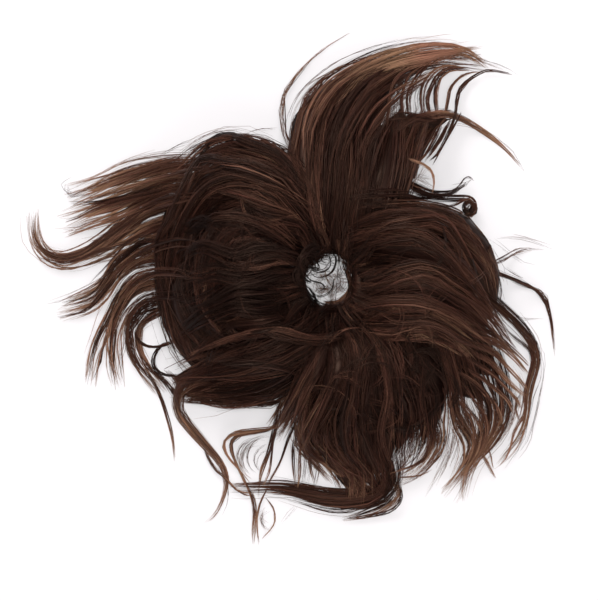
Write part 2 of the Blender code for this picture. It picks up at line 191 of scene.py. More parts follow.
HAIR["side_curl"] = [
    Lock([(34, 52, 24), (38, 48, 24), (44, 45, 20), (50, 43, 17), (58, 44, 9), (63, 46, 5), (67, 49, 3)],
         3.2, tone=0.2, wisps=5, strands=10, wave=1, step=4, core=0.3),
    laid([(36, 46), (42, 44), (50, 42), (58, 43), (63, 46), (67, 49)], 2.2, 0.25, 4, wave=1.5, step=3),
    curled([(36, 61), (43, 59), (48, 56), (50, 52), (50, 47), (49, 43)], 1.8, 0.85, wisps=4, lift=6),
    *[faint(route, wave=1.5, step=3) for route in (
        [(37, 53), (43, 51), (49, 50)], [(38, 51), (44, 49), (49, 47)], [(37, 49), (43, 46), (49, 45)],
        [(44, 59), (40, 55), (37, 50)], [(47, 57), (43, 53), (39, 48)])],
    laid([(56, 44), (62, 47), (65, 51), (68, 52), (70, 50)], 1.2, 0.2, 2, strands=4, wave=0.5, step=2),
    faint([(38, 56), (42, 52), (48, 48), (50, 46)], wave=3),
    faint([(56, 44), (64, 46), (70, 50), (72, 53)], 2),
]

HAIR["plume"] = [
    inner([(5, 14, 23), (11, 38, 20), (18, 64, 15), (28, 84, 9)], 38, 30, 0.2),
    outer([(-8, 16, 24), (-12, 42, 27), (-11, 70, 18), (-1, 93, 10), (24, 109, 4), (58, 114, 0)], 22, 12,
          0.3, 0.38, 18),
    outer([(0, 14, 26), (4, 46, 34), (8, 76, 25), (22, 97, 14), (48, 109, 4), (76, 108, 0)], 20, 12, 0.3,
          0.32, 18),
    outer([(6, 14, 26), (13, 46, 33), (17, 68, 25), (22, 86, 14), (33, 101, 4), (54, 110, 0)], 16, 11, 0.3,
          0.35, 16, strands=14, core=0.6),
    bulk([(12, 20, 24), (22, 44, 28), (29, 64, 18), (33, 80, 8), (36, 90, 3)], 28, 18, 0.7, 0.3, 0.7,
         ends=0.2),
    bulk([(20, 24, 24), (28, 44, 24), (35, 62, 16), (42, 76, 8), (47, 87, 2)], 20, 14, 0.6, 0.3, 0.7,
         ends=0.2),
    bulk([(28, 42, 20), (36, 58, 14), (43, 68, 7), (50, 78, 1), (56, 85, 0)], 13, 11, 0.4, 0.35, 0.6,
         wisps=14, strands=12, ends=0.2),
    filler([(-8, 28, 16), (-14, 48, 14), (-14, 68, 10), (-6, 88, 6), (12, 102, 3), (38, 112, 2)], 16, 8),
    filler([(4, 28, 16), (4, 48, 14), (7, 68, 10), (14, 87, 6), (24, 99, 2)], 28, 10),
    filler([(18, 28, 16), (23, 48, 12), (30, 66, 8), (36, 96, 2)], 28, 10),
    filler([(24, 30, 14), (30, 48, 10), (37, 64, 6), (47, 92, 1)], 16, 8),
    filler([(24, 74, 6), (34, 77, 5), (44, 78, 4), (54, 80, 2), (64, 82, 1)], 10, 5),
    filler([(-10, 44, 16), (-10, 66, 14), (0, 84, 9), (18, 99, 4), (40, 109, 2), (60, 113, 1)], 16, 6),
    laid([(-12, 28), (-19, 53), (-20, 73), (-17, 82), (-10, 88), (-4, 97), (6, 105), (16, 111), (29, 116),
          (44, 118), (61, 118)], 5, 0.5, 7, tip=0.5),
    laid([(-2, 96), (14, 106), (29, 112), (44, 116), (56, 117), (66, 115), (76, 108)], 7, 1.2, 12, strands=8,
         wave=2, ripe=1),
    laid([(0, 88), (14, 100), (30, 107), (48, 111), (62, 114), (76, 117)], 6, 1.1, 10, strands=8, wave=2,
         ripe=1),
    laid([(8, 98), (24, 108), (40, 113), (56, 115), (70, 117)], 5, 1.3, 8, strands=8, wave=2, lift=2.5,
         ripe=1),
    ending([(26, 76), (27, 88), (29, 97), (33, 103), (44, 108)], 3, 0.6),
    ending([(35, 78), (34, 90), (36, 97), (39, 103), (49, 109)], 2.5, 0.6),
    ending([(38, 80), (37, 91), (39, 97), (42, 102), (47, 107), (55, 112)], 2.5, 0.6),
    ending([(45, 80), (44, 90), (45, 97), (49, 103), (56, 107), (66, 106)], 2.5, 0.6),
    ending([(49, 80), (47, 90), (49, 96), (52, 102), (58, 106), (69, 106)], 2.5, 0.55),
    ending([(52, 80), (51, 91), (52, 97), (54, 102), (59, 105), (71, 105)], 2.5, 0.55),
    ending([(55, 80), (57, 90), (58, 96), (62, 101), (67, 104), (75, 105)], 2, 0.6),
    ending([(56, 70), (61, 82), (62, 90), (64, 96), (68, 100), (73, 103), (78, 105), (90, 103)], 2.4, 0.5),
    ending([(50, 112), (63, 114), (71, 111), (77, 106)], 3, 1),
    ending([(61, 82), (58, 74), (55, 68), (51, 62), (47, 59)], 2, 0.45),
    *[ending(route, 2, 0.45) for route in (
        [(57, 78), (53, 70), (47, 62)], [(64, 84), (60, 76), (56, 69), (52, 62), (49, 57)],
        [(54, 78), (50, 70), (45, 62), (40, 57)], [(59, 81), (55, 73), (50, 65), (45, 59)],
        [(51, 76), (46, 67), (40, 60)])],
    draped([(-2, 21), (1, 41), (6, 71), (24, 101)], 9, 0.3, 7),
    draped([(14, 41), (16, 56), (21, 71), (31, 83)], 9, 0.3),
    draped([(4, 41), (19, 42), (34, 42), (46, 41)], 8, 0.3),
    draped([(-12, 50), (-12, 75), (-2, 95), (14, 106), (34, 112)], 8, 0.7),
    draped([(10, 60), (20, 80), (32, 92), (48, 102), (60, 108)], 8, 0.6),
    faint([(-19, 60), (-22, 80), (-12, 98), (10, 112), (40, 121), (62, 121)]),
    faint([(40, 100), (60, 112), (80, 108), (98, 100)]),
    laid([(28, 72), (38, 79), (47, 82), (55, 83), (61, 82)], 6, 0.45, 7, strands=7, wave=2, ripe=1),
    laid([(24, 80), (34, 82), (44, 80), (52, 79)], 6, 0.3, 7, strands=7, wave=2),
    *[faint([(x, 84), (x - 1, 93), (x + 4, 102)], wave=2, tone=0.4, step=4)
      for x in (29, 31, 33, 39, 41, 43)],
]

HAIR["right_crown"] = [
    outer([(2, 15, 24), (20, 28, 30), (44, 29, 33), (64, 21, 29), (76, 6, 22), (79, -10, 15)], 20, 16, 0.5,
          0.33, 20),
    outer([(6, 12, 25), (26, 21, 39), (46, 16, 43), (62, 2, 39), (74, -16, 30), (84, -30, 17)], 24, 14, 0.4,
          0.36, 22),
    filler([(22, 22, 16), (42, 27, 16), (60, 20, 14), (72, 4, 12), (76, -14, 9), (74, -36, 5)], 26, 18),
    laid([(6, 33), (18, 37), (34, 38), (48, 38), (58, 36), (65, 33), (71, 27), (76, 21), (79, 13), (80, 6),
          (79, -1)], 5, 0.6, 7),
    draped([(4, 21), (18, 23), (28, 28), (41, 30), (54, 30), (61, 21), (69, 8), (76, -5)], 9, 0.45, 7),
    draped([(6, 14), (22, 20), (40, 22), (54, 14), (64, 2), (72, -12)], 9, 0.35, 7),
    faint([(76, 22), (94, 23), (110, 18)], 2),
    faint([(77, 21), (91, 11), (101, 7)], 2),
    faint([(80, 10), (94, 1), (101, -2)], 2),
]

HAIR["right_main"] = [
    inner([(8, 4, 22), (34, 5, 19), (54, -5, 18), (63, -24, 15), (60, -42, 11)], 46, 38, 0.15),
    outer([(8, -2, 25), (30, -1, 43), (50, -2, 45), (70, -16, 32), (90, -36, 8)], 18, 11, 0.3, 0.4, 18),
    outer([(6, -8, 25), (26, -11, 40), (46, -13, 43), (62, -22, 35), (78, -36, 20)], 16, 10, 0.4, 0.4, 18),
    outer([(6, -12, 25), (26, -22, 34), (44, -21, 38), (58, -27, 32), (70, -38, 22)], 14, 9, 0.5, 0.4, 16),
    filler([(24, 2, 16), (44, -2, 14), (60, -14, 12), (70, -32, 7), (74, -46, 3)], 38, 20),
    filler([(24, -14, 16), (40, -24, 14), (54, -34, 10), (62, -50, 5)], 30, 18),
    *spokes(-75, 75, 13, 12.5, 34, 31, early=0.1, wave=6, body=0.25),
    *spokes(-90, 75, 11, 8, 24, 32, body=0, fine=0.42, wisps=6, tone=0.6, early=0.5),
    *tangle(4, (24, -24), (64, 20), (14, 28), 8, 0.3, body=0.15),
    *tangle(36, (20, -30), (62, 20), (12, 24), 18, 0.6, **HAIRS),
    draped([(8, -10), (21, -5), (34, 0), (46, 2), (58, -5), (69, -12), (79, -22), (86, -32), (94, -39)], 9,
           0.5, 8),
    draped([(6, -15), (21, -10), (39, -10), (54, -15), (66, -22), (79, -32)], 9, 0.5, 8),
    draped([(26, -24), (34, -20), (44, -19), (54, -22), (64, -29), (84, -37)], 8, 0.5),
    draped([(10, -2), (26, 4), (42, 8), (58, 2), (72, -10), (84, -24)], 9, 0.35, 7),
]

HAIR["bottom_fall"] = [
    inner([(3, -14, 22), (5, -36, 15), (3, -58, 13), (1, -78, 8)], 38, 30, 0.15),
    bulk([(-6, -24, 16), (-12, -44, 14), (-10, -64, 10), (-4, -82, 4)], 26, 20, 0.8, 0.25, 0.8),
    bulk([(4, -40, 20), (10, -64, 16), (18, -86, 10), (24, -104, 3)], 24, 18, 0.7, 0.15, 0.8),
    bulk([(14, -36, 24), (22, -60, 18), (27, -84, 8), (26, -104, 3)], 20, 15, 0.8, 0.3, 0.7),
    bulk([(-14, -46, 22), (-11, -64, 16), (-3, -82, 8), (10, -97, 3), (24, -107, 2)],
         17, 14, 0.7, 0.4, 0.75),
    bulk([(2, -56, 20), (6, -76, 12), (14, -92, 5), (22, -106, 2), (14, -112, 0)], 16, 10, 0.8, 0.44, 0.7),
    outer([(-3, -12, 25), (-8, -40, 36), (-15, -56, 28), (-22, -66, 19), (-29, -75, 10)], 17, 10, 0.4, 0.28),
    outer([(0, -13, 25), (2, -42, 37), (-5, -60, 29), (-12, -74, 15), (-15, -86, 4)], 17, 10, 0.5, 0.35),
    outer([(3, -13, 25), (12, -38, 36), (8, -60, 29), (7, -82, 14), (15, -101, 4)], 17, 10, 0.8, 0.32),
    outer([(6, -13, 25), (20, -40, 31), (19, -64, 22), (19, -94, 6)], 16, 10, 0.9, 0.15),
    outer([(8, -12, 25), (25, -38, 33), (27, -58, 27), (26, -86, 9)], 15, 9, 0.9, 0.32),
    bulk([(-12, -46, 20), (-19, -58, 14), (-24, -68, 8), (-29, -76, 3)], 12, 8, 0.8, 0.55, wisps=10,
         ends=0.25),
    bulk([(-10, -60, 16), (-15, -72, 10), (-13, -84, 4), (-4, -92, 2), (2, -99, 1)], 12, 9, 0.7, 0.6, 0.5,
         wisps=10, ends=0.25),
    bulk([(0, -74, 12), (1, -87, 6), (6, -97, 3), (9, -106, 2)], 16, 9, 0.9, 0.5, 0.7, wisps=10, ends=0.2),
    bulk([(8, -80, 12), (12, -92, 6), (14, -102, 3), (10, -110, 2)], 13, 9, 0.9, 0.45, 0.6, wisps=10,
         ends=0.2),
    filler([(-4, -30, 14), (-7, -50, 12), (-6, -66, 9), (3, -84, 5), (16, -100, 2)], 24, 12),
    filler([(2, -78, 6), (6, -92, 3), (10, -102, 2), (14, -112, 1)], 13, 5),
    filler([(10, -30, 14), (14, -54, 12), (18, -76, 8), (22, -96, 3), (20, -110, 2)], 30, 12),
    filler([(x, y, 9) for x, y in curl(0, -0.5, 16.6, 60.0, 1.6)], 7, 8),
    filler([(x, y, 8) for x, y in curl(0, 0, 13.2, -95.0, 0.55)], 5, 5),
    *tangle(6, (-12, -90), (26, -34), (8, 18), 7, 0.3, body=0.15),
    *tangle(26, (-10, -84), (24, -34), (10, 20), 17, 0.6, **HAIRS),
    draped([(-6, -44), (-16, -60), (-24, -75)], 9, 0.45, 7),
    draped([(4, -44), (-4, -60), (-12, -75), (-17, -85)], 9, 0.55, 7),
    draped([(11, -34), (8, -55), (4, -70), (6, -85), (14, -95), (16, -105)], 8, 0.35),
    draped([(22, -34), (26, -45), (28, -55), (26, -65), (24, -75), (26, -85), (30, -95)], 5, 0.5),
    draped([(-2, -30), (-14, -50), (-22, -64), (-26, -72)], 8, 0.5),
    laid([(-12, -56), (-15, -68), (-16, -78), (-12, -86), (-4, -90)], 6, 0.65, 8, wave=2),
    laid([(-8, -60), (-11, -72), (-10, -82), (-4, -88), (2, -92), (6, -98)], 9, 0.55, 9, wave=2),
    laid([(-2, -66), (-4, -76), (-1, -86), (6, -95), (16, -102)], 10, 0.45, 9, wave=2),
    *[curled(route, 1.8, 0.5) for route in (
        [(-16, -78), (-17, -88), (-17, -98), (-18, -104)], [(-20, -78), (-20, -88), (-19, -102)],
        [(-12, -84), (-11, -94), (-9, -102)], [(-6, -88), (-2, -95), (2, -100), (5, -106)])],
    *[faint([(x, -76), (x + 1, -86), (x + 6, -92)], wave=3) for x in (-14, -8)],
]

HAIR["left_crown"] = [
    outer([(-8, 18, 24), (-23, 48, 27), (-41, 63, 23), (-60, 63, 16), (-80, 50, 8), (-92, 40, 4)], 23, 16,
          0.5, 0.38, 22),
    outer([(-10, 16, 26), (-30, 42, 38), (-52, 49, 36), (-70, 36, 26), (-78, 8, 13), (-75, -20, 8),
           (-70, -38, 6)], 26, 15, 0.5, 0.37, 24, root=0.6),
    filler([(-16, 34, 16), (-26, 54, 14), (-42, 63, 11), (-60, 62, 8), (-78, 50, 4)], 15, 10),
    *spokes(85, 215, 10, 14, 34, 33),
    laid([(-15, 40), (-20, 51), (-28, 61), (-40, 67), (-54, 72), (-64, 68), (-76, 57)], 7, 0.3, 10,
         strands=8, early=0.15),
    laid([(-17, 46), (-27, 52), (-39, 56), (-52, 58), (-64, 60), (-71, 51), (-79, 33), (-87, 18), (-84, -5),
          (-78, -30), (-69, -41)], 7, 0.3, 9, tip=0.7),
    laid([(-14, 36), (-28, 44), (-46, 50), (-62, 46), (-74, 30), (-82, 8), (-80, -16)], 7, 0.4, 8, tip=0.7),
    faint([(-48, 72), (-39, 76), (-27, 76)], 2),
    faint([(-62, 70), (-72, 66), (-77, 62)], 2),
    faint([(-64, 71), (-77, 68), (-88, 61)], 2),
    faint([(-30, 68), (-50, 76), (-70, 70), (-84, 58)], 2),
    laid([(-68, 60), (-61, 68), (-55, 73), (-49, 73), (-44, 69)], 2.5, 0, 5, wave=0.8, step=3, early=0.1,
         lift=1),
]

HAIR["left_main"] = [
    bulk([(-74, 24, 12), (-81, 4, 10), (-80, -16, 9), (-75, -32, 9), (-66, -44, 9), (-54, -52, 10)], 15, 12,
         0.8, 0.38, 0.7),
    inner([(-9, 10, 22), (-36, 28, 19), (-57, 14, 18), (-58, -10, 17), (-44, -32, 13)], 48, 40, 0.15, 0.6),
    bulk([(-20, 2, 18), (-36, -6, 22), (-54, -14, 20), (-66, -26, 12)], 38, 30, 0.8, 0.25, 0.9),
    outer([(-8, 12, 26), (-34, 28, 43), (-54, 22, 46), (-62, -2, 42), (-52, -30, 29)], 24, 14, 0.5, 0.25, 22,
          root=0.6),
    outer([(-9, 6, 26), (-28, 13, 43), (-44, 6, 48), (-47, -10, 45), (-38, -27, 34)], 22, 13, 0.5, 0.15, 20),
    outer([(-10, -2, 25), (-26, 0, 39), (-34, -9, 41), (-28, -21, 35), (-12, -27, 28)], 16, 10, 0.6, 0.15,
          16, root=1),
    bulk([(-58, 14, 24), (-70, 0, 20), (-70, -16, 18), (-60, -32, 16), (-44, -40, 18)],
         24, 18, 0.7, 0.3, 0.8),
    bulk([(-44, 4, 30), (-56, -8, 26), (-52, -24, 26), (-36, -34, 24)], 22, 16, 0.7, 0.3, 0.8),
    outer([(-8, -8, 25), (-18, -11, 34), (-24, -20, 32), (-16, -30, 26)], 14, 9, 0.8, 0.2, 12, root=1),
    filler([(-24, 40, 16), (-42, 50, 15), (-60, 46, 13), (-74, 28, 10), (-78, 4, 8), (-76, -20, 7),
            (-64, -40, 6), (-48, -48, 6), (-34, -52, 6)], 24, 14),
    filler([(-74, -16, 10), (-70, -32, 9), (-62, -42, 9), (-50, -46, 9), (-36, -48, 8)], 14, 10),
    filler([(-24, 20, 16), (-44, 20, 16), (-58, 6, 14), (-58, -14, 12), (-46, -30, 12), (-30, -34, 12)], 38,
           22),
    *[laid(route, 0.7, -0.1, 2, strands=4, step=1.5, wave=0.3, frizz=0.3, fine=1.1,
           early=0.1, ends=0.1, lift=height)
      for route, height in (
          ([(-2, 15), (1, 12), (1, 8), (-1, 4), (-5, 2), (-9, 2), (-12, 5)], 18),
          ([(-2, 13), (-1, 9), (-2, 6), (-5, 4), (-9, 4)], 17),
          ([(-1, 8), (-4, 5), (-7, 5), (-10, 7)], 18),
          ([(-14, 4), (-12, 1), (-10, 0), (-6, -1), (-4, -3), (-6, -5), (-9, -6)], 16),
          ([(0, 1), (0, -3), (-2, -6), (-6, -8), (-9, -7), (-12, -4)], 14),
          ([(-15, 2), (-13, -4), (-10, -8), (-6, -11), (-1, -12)], 15),
          ([(5, 8), (7, 2), (8, -4), (6, -9)], 14))],
    *[laid(curl(x, y, size, start, 0.9), 0.8, 0, 2, strands=3, step=1.2, wave=0.5, frizz=0.4,
           early=0.15, lift=height)
      for x, y, size, start, height in ((-4, 11, 1.8, 0, 18), (-8, 12, 2.6, 90, 18), (-12, 9, 3, 30, 17),
                                        (-9, 7, 2.2, 200, 18), (-6, 9, 3.4, 120, 17))],
    *[laid(curl(x, y, size, start, 0.5), 4, 0, 5, strands=6, step=1.5, wave=2, frizz=1,
           early=0.2, lift=height)
      for x, y, size, start, height in ((-8, 6, 7.5, 70, 15), (-9, 10, 6, 60, 17), (-6, 12, 7, 100, 15),
                                        (-12, 8, 5, 40, 17), (-13, 2, 5, 100, 14))],
    *[laid(curl(-1, -1, size, -115, turns), 4, tone, 8, strands=7, step=2.5, wave=1.5,
           early=0.1, ends=0.15, lift=height)
      for size, turns, tone, height in ((12.8, 0.55, 0.35, 15),
                                        (11.5, 0.5, 0.5, 13), (10.2, 0.48, 0.7, 11))],
    *[faint(curl(x, y, size, start, 0.4), step=2.5, wave=3, fine=0.4, tone=0.7, lift=height, wisps=6)
      for x, y, size, start, height in (
          (-4, -3, 5, 0, 10), (-2, -4, 6, 60, 11), (-6, 0, 5, 200, 12),
          (0, 0, 6, 240, 10), (-3, 3, 7, 180, 11),
          (1, -4, 5, 120, 9), (-8, -4, 4, 20, 12), (3, 2, 5, 150, 10),
          (2, 6, 4, 190, 12), (-5, -8, 5, 30, 9),
          (-1, -9, 6, 60, 10), (4, -6, 5, 100, 10), (-9, 1, 4, 330, 12), (-4, 0, 8, 280, 9),
          (3, 4, 7, 120, 12), (5, -3, 6, 60, 11), (6, 6, 6, 200, 13),
          (7, -8, 7, 90, 12), (8, 0, 6, 140, 13))],
    *tangle(12, (-66, -26), (-24, 36), (8, 18), 5, 0.2, body=0.15),
    *tangle(36, (-72, -30), (-20, 44), (8, 24), 15, 0.6, **HAIRS),
    laid([(-18, 9), (-16, 4), (-15, -3), (-15, -10)], 4, 0, strands=8, frizz=3, clump=1.2),
    laid([(-16, 12), (-10, 11), (-5, 13), (0, 14)], 4, 0, strands=8, frizz=3, clump=1.2),
    draped([(-66, 56), (-48, 53), (-30, 47), (-11, 36)], 8, 0.5),
    draped([(-63, 47), (-48, 42), (-35, 36), (-22, 32), (-12, 26)], 8, 0.52),
    draped([(-60, 66), (-48, 64), (-26, 58), (-15, 46)], 9, 0.48),
    draped([(-46, 6), (-36, 6), (-26, 9), (-20, 8)], 4, 0.55, 4),
    draped([(-34, 28), (-26, 30), (-17, 31)], 4, 0.6, 4),
    draped([(-50, 44), (-36, 33), (-17, 28), (-11, 18)], 6, 0.3),
    draped([(-76, 12), (-74, -4), (-66, -20), (-52, -30)], 9, 0.2, 7),
    draped([(-15, 4), (-28, 5), (-44, 1), (-60, 4), (-76, -2)], 13, 0, 10, strands=6),
    draped([(-15, -3), (-30, -5), (-46, -3), (-62, -10), (-76, -14)], 13, 0.02, 10, strands=6),
    draped([(-15, -9), (-31, -14), (-48, -12), (-64, -18), (-78, -27)], 13, 0.14, 12, strands=8),
    draped([(-18, -17), (-35, -21), (-52, -22), (-64, -32), (-70, -40)], 12, 0.2, 10, strands=8),
    draped([(-18, 12), (-34, 16), (-48, 12), (-64, 18), (-76, 12)], 13, 0, 10, strands=6),
    laid([(-54, -5), (-43, -1), (-32, -3), (-22, -8)], 5, 0.3, 4, lift=3.5),
    draped([(-80, 34), (-72, 26), (-64, 30), (-56, 24)], 10, 0.1, 8),
    draped([(-70, 24), (-60, 30), (-44, 30), (-28, 22), (-18, 14)], 9, 0.35, 7),
    laid([(-84, 6), (-82, -12), (-76, -28), (-70, -40)], 6, 0.25, 7),
    teased([(-64, 32), (-48, 38), (-34, 36), (-22, 26)], 5, 0.5),
    teased([(-60, 44), (-46, 44), (-30, 36)], 4, 0.5),
    teased([(-40, 31), (-28, 27), (-18, 18)], 5, 0.5),
    teased([(-52, 18), (-41, 21), (-31, 17)], 4, 0.5),
    teased([(-40, 8), (-32, 12), (-25, 11), (-19, 7)], 4, 0.3),
    teased([(-38, 2), (-30, 5), (-24, 4), (-17, 6)], 3, 0.3),
    laid([(-66, -6), (-62, -18), (-56, -26)], 4, 0.5, lift=3.5),
    draped([(-78, -8), (-74, -22), (-66, -34)], 4, 0.5),
]

HAIR["bottom_left_roll"] = [
    outer([(-3, -14, 24), (-22, -31, 30), (-48, -37, 30), (-80, -48, 9)], 30, 24, 0.4, 0.27, 20, root=0.6,
          ends=0.15),
    Lock([(-5, -24, 18), (-26, -43, 14), (-50, -48, 13), (-79, -54, 5)], 28, 24, 0.7, 0.5, 0.33, 18, 12,
         ends=0.15),
    Lock([(-12, -44, 8), (-32, -55, 6), (-54, -58, 5), (-75, -57, 3)], 16, 12, 0.7, 0.5, 0.33, 14, 12,
         ends=0.15),
    filler([(-14, -34, 14), (-34, -44, 10), (-54, -48, 7), (-72, -49, 5), (-92, -47, 2)], 26, 12),
    filler([(-36, -30, 12), (-50, -31, 12), (-62, -34, 10), (-72, -40, 6)], 10, 8),
    filler([(-44, -53, 4), (-60, -56, 3), (-80, -57, 2)], 7, 4),
    *spokes(215, 285, 6, 14.5, 28, 36, tone=0.15, body=0.15, wave=6),
    *[laid(route, 4, 0.45, 6, step=4, wave=2) for route in (
        [(-97, -37), (-91, -44), (-84, -50), (-79, -58)], [(-84, -44), (-79, -48), (-77, -53), (-77, -60)])],
    *tangle(8, (-60, -50), (-20, -34), (10, 20), 6, 0.3, **HAIRS),
    laid([(-78, -57), (-64, -60), (-54, -62), (-44, -62), (-36, -60), (-28, -56)], 5, 0.5),
    *[laid(route, 3, 0.45, 4, step=4, wave=2) for route in (
        [(-90, -45), (-83, -50), (-79, -56), (-77, -64)], [(-68, -47), (-76, -50), (-79, -57), (-77, -66)],
        [(-66, -52), (-74, -54), (-77, -60), (-75, -68)])],
    draped([(-6, -26), (-22, -38), (-44, -46), (-68, -48), (-80, -50)], 7, 0.3, 7),
    draped([(-8, -32), (-26, -46), (-48, -54), (-72, -54)], 9, 0.1, 7),
    draped([(-60, -36), (-52, -40), (-40, -40), (-28, -42), (-16, -46)], 7, 0.1, 8),
]

HAIR["left_sweep"] = [
    loose([(-66, 56, 13), (-82, 56, 7), (-98, 53, 2), (-115, 47, 0), (-133, 41, 0)], 15, 7, wisps=20,
          strands=10, core=0.35),
    loose([(-70, 47, 13), (-84, 46, 8), (-98, 41, 2), (-118, 34, 0), (-136, 28, 0)], 15, 7, wisps=18,
          strands=12, core=0.35),
    loose([(-72, 37, 14), (-85, 36, 8), (-99, 30, 3), (-118, 16, 0), (-138, 11, 0), (-148, 20, 0),
           (-149, 36, 0)], 14, 7, 0.5, 0.72, 18, strands=12, core=0.35),
    loose([(-66, 28, 14), (-80, 28, 9), (-94, 24, 4), (-108, 18, 1), (-122, 14, 0)], 12, 7, wisps=12,
          strands=12, core=0.3),
    *[laid(route, 6, 0.5, 5, tip=0.8, ripe=1, step=7) for route in (
        [(-50, 56), (-66, 55), (-84, 51), (-104, 46), (-122, 41)],
        [(-52, 42), (-70, 42), (-88, 38), (-108, 30), (-124, 26)])],
    laid([(-66, 62), (-82, 60), (-97, 55), (-109, 51), (-122, 46), (-133, 42)], 4, 0.7, 5),
    laid([(-76, 48), (-94, 44), (-112, 40), (-132, 39)], wisps=5),
    laid([(-76, 46), (-97, 42), (-117, 37), (-127, 32), (-136, 29)], wisps=5),
    laid([(-74, 46), (-94, 35), (-107, 26), (-117, 19), (-127, 13), (-137, 12), (-144, 15), (-149, 21),
          (-150, 28), (-149, 37)], 3, 0.4, 4, step=4),
    laid([(-92, 23), (-112, 17), (-119, 15), (-127, 11), (-137, 9), (-144, 11), (-148, 12)], 3, 0.4, 4),
    faint([(-120, 46), (-130, 42), (-134, 46), (-130, 51)], step=3),
    faint([(-112, 44), (-126, 42), (-136, 45)], 3, 1),
    faint([(-110, 32), (-128, 27), (-140, 27)]),
]

HAIR["left_fan"] = [
    loose([(-76, 18, 12), (-92, 17, 5), (-107, 10, 0), (-115, -2, 0), (-136, -12, 0)], 10, 5),
    loose([(-76, 10, 12), (-92, 10, 5), (-105, 5, 0), (-118, -11, 0), (-138, -19, 0)], 10, 5),
    loose([(-74, 3, 12), (-90, 3, 5), (-102, -2, 0), (-112, -18, 0), (-120, -35, 0), (-123, -52, 0)], 10, 5),
    loose([(-74, -4, 12), (-90, -4, 5), (-101, -9, 0), (-109, -22, 0), (-110, -38, 0), (-108, -53, 0)],
          10, 5),
    loose([(-72, -12, 12), (-88, -13, 4), (-98, -20, 0), (-100, -31, 0), (-94, -44, 0), (-84, -56, 0)], 9, 6,
          0.9, 0.45, wave=4, clump=0.8),
    *[laid(route, 6.4, 0.34, 4, tip=0.95, ripe=1, step=7) for route in (
        [(-58, 16), (-76, 19), (-92, 15), (-108, 4), (-120, -8)],
        [(-60, -2), (-76, 2), (-92, 2), (-104, -8), (-112, -26)],
        [(-62, -14), (-78, -8), (-94, -9), (-104, -20), (-106, -38)])],
    laid([(-97, 18), (-107, 12), (-113, 3), (-118, -5), (-124, -9), (-136, -12)], 3, 0.4, 4),
    laid([(-92, 13), (-102, 10), (-109, 1), (-117, -9), (-124, -16), (-138, -19)], 3, 0.4, 4),
    laid([(-87, 6), (-97, 3), (-107, -7), (-113, -20), (-119, -32), (-123, -52)], 3, 0.4, 4),
    laid([(-87, -2), (-99, -6), (-107, -15), (-110, -27), (-111, -40), (-109, -53)], 3, 0.4, 4),
    laid([(-114, -25), (-117, -40), (-121, -50)], 2, 0.4, 2),
    laid([(-87, -10), (-99, -15), (-102, -25), (-101, -35), (-97, -42), (-91, -49), (-87, -56)], wisps=5,
         step=4),
    laid([(-99, -25), (-97, -30), (-91, -33), (-84, -32), (-76, -29)], 2.5, 0.3, 4, strands=8, wave=1,
         step=3, early=0.1),
    laid([(-80, -30), (-86, -32), (-90, -38), (-89, -44), (-84, -47), (-76, -47), (-70, -45)], 2.5, 0.3, 4,
         strands=8, wave=1, step=3, early=0.1),
    laid([(-80, 20), (-96, 20), (-110, 8), (-122, -4)], 5),
    faint([(-100, 12), (-116, 0), (-132, -8), (-144, -12)]),
    faint([(-100, -20), (-106, -40), (-104, -54)]),
]

HAIR["wavy_tail"] = [
    loose([(-64, -44, 12), (-73, -50, 5), (-78, -58, 1), (-77, -66, 0), (-72, -73, 0), (-63, -83, 0),
           (-56, -91, 0), (-53, -99, 0), (-55, -109, 0), (-59, -117, 0), (-64, -121, 0)], 6, 4, 0.3, 0.65, 8,
          strands=10, wave=1.5, step=4.5, clump=0.8),
    loose([(-93, -45, 0), (-87, -55, 0), (-83, -67, 0), (-80, -79, 0), (-79, -91, 0)], 2, 2, 0.5, 0.5, 4,
          wave=1, step=5, clump=0.8),
    curled([(-60, -50), (-70, -53), (-76, -58), (-77, -65), (-73, -72), (-67, -79)], 3, 0.6),
    curled([(-65, -82), (-62, -89), (-58, -95), (-53, -99), (-49, -104), (-44, -106), (-39, -106)],
           1.2, 0.5),
    curled([(-54, -98), (-50, -103), (-44, -107), (-38, -107)], 1, 0.5),
    faint([(-80, -60), (-66, -78), (-56, -92), (-52, -108), (-58, -122)], wave=3),
]

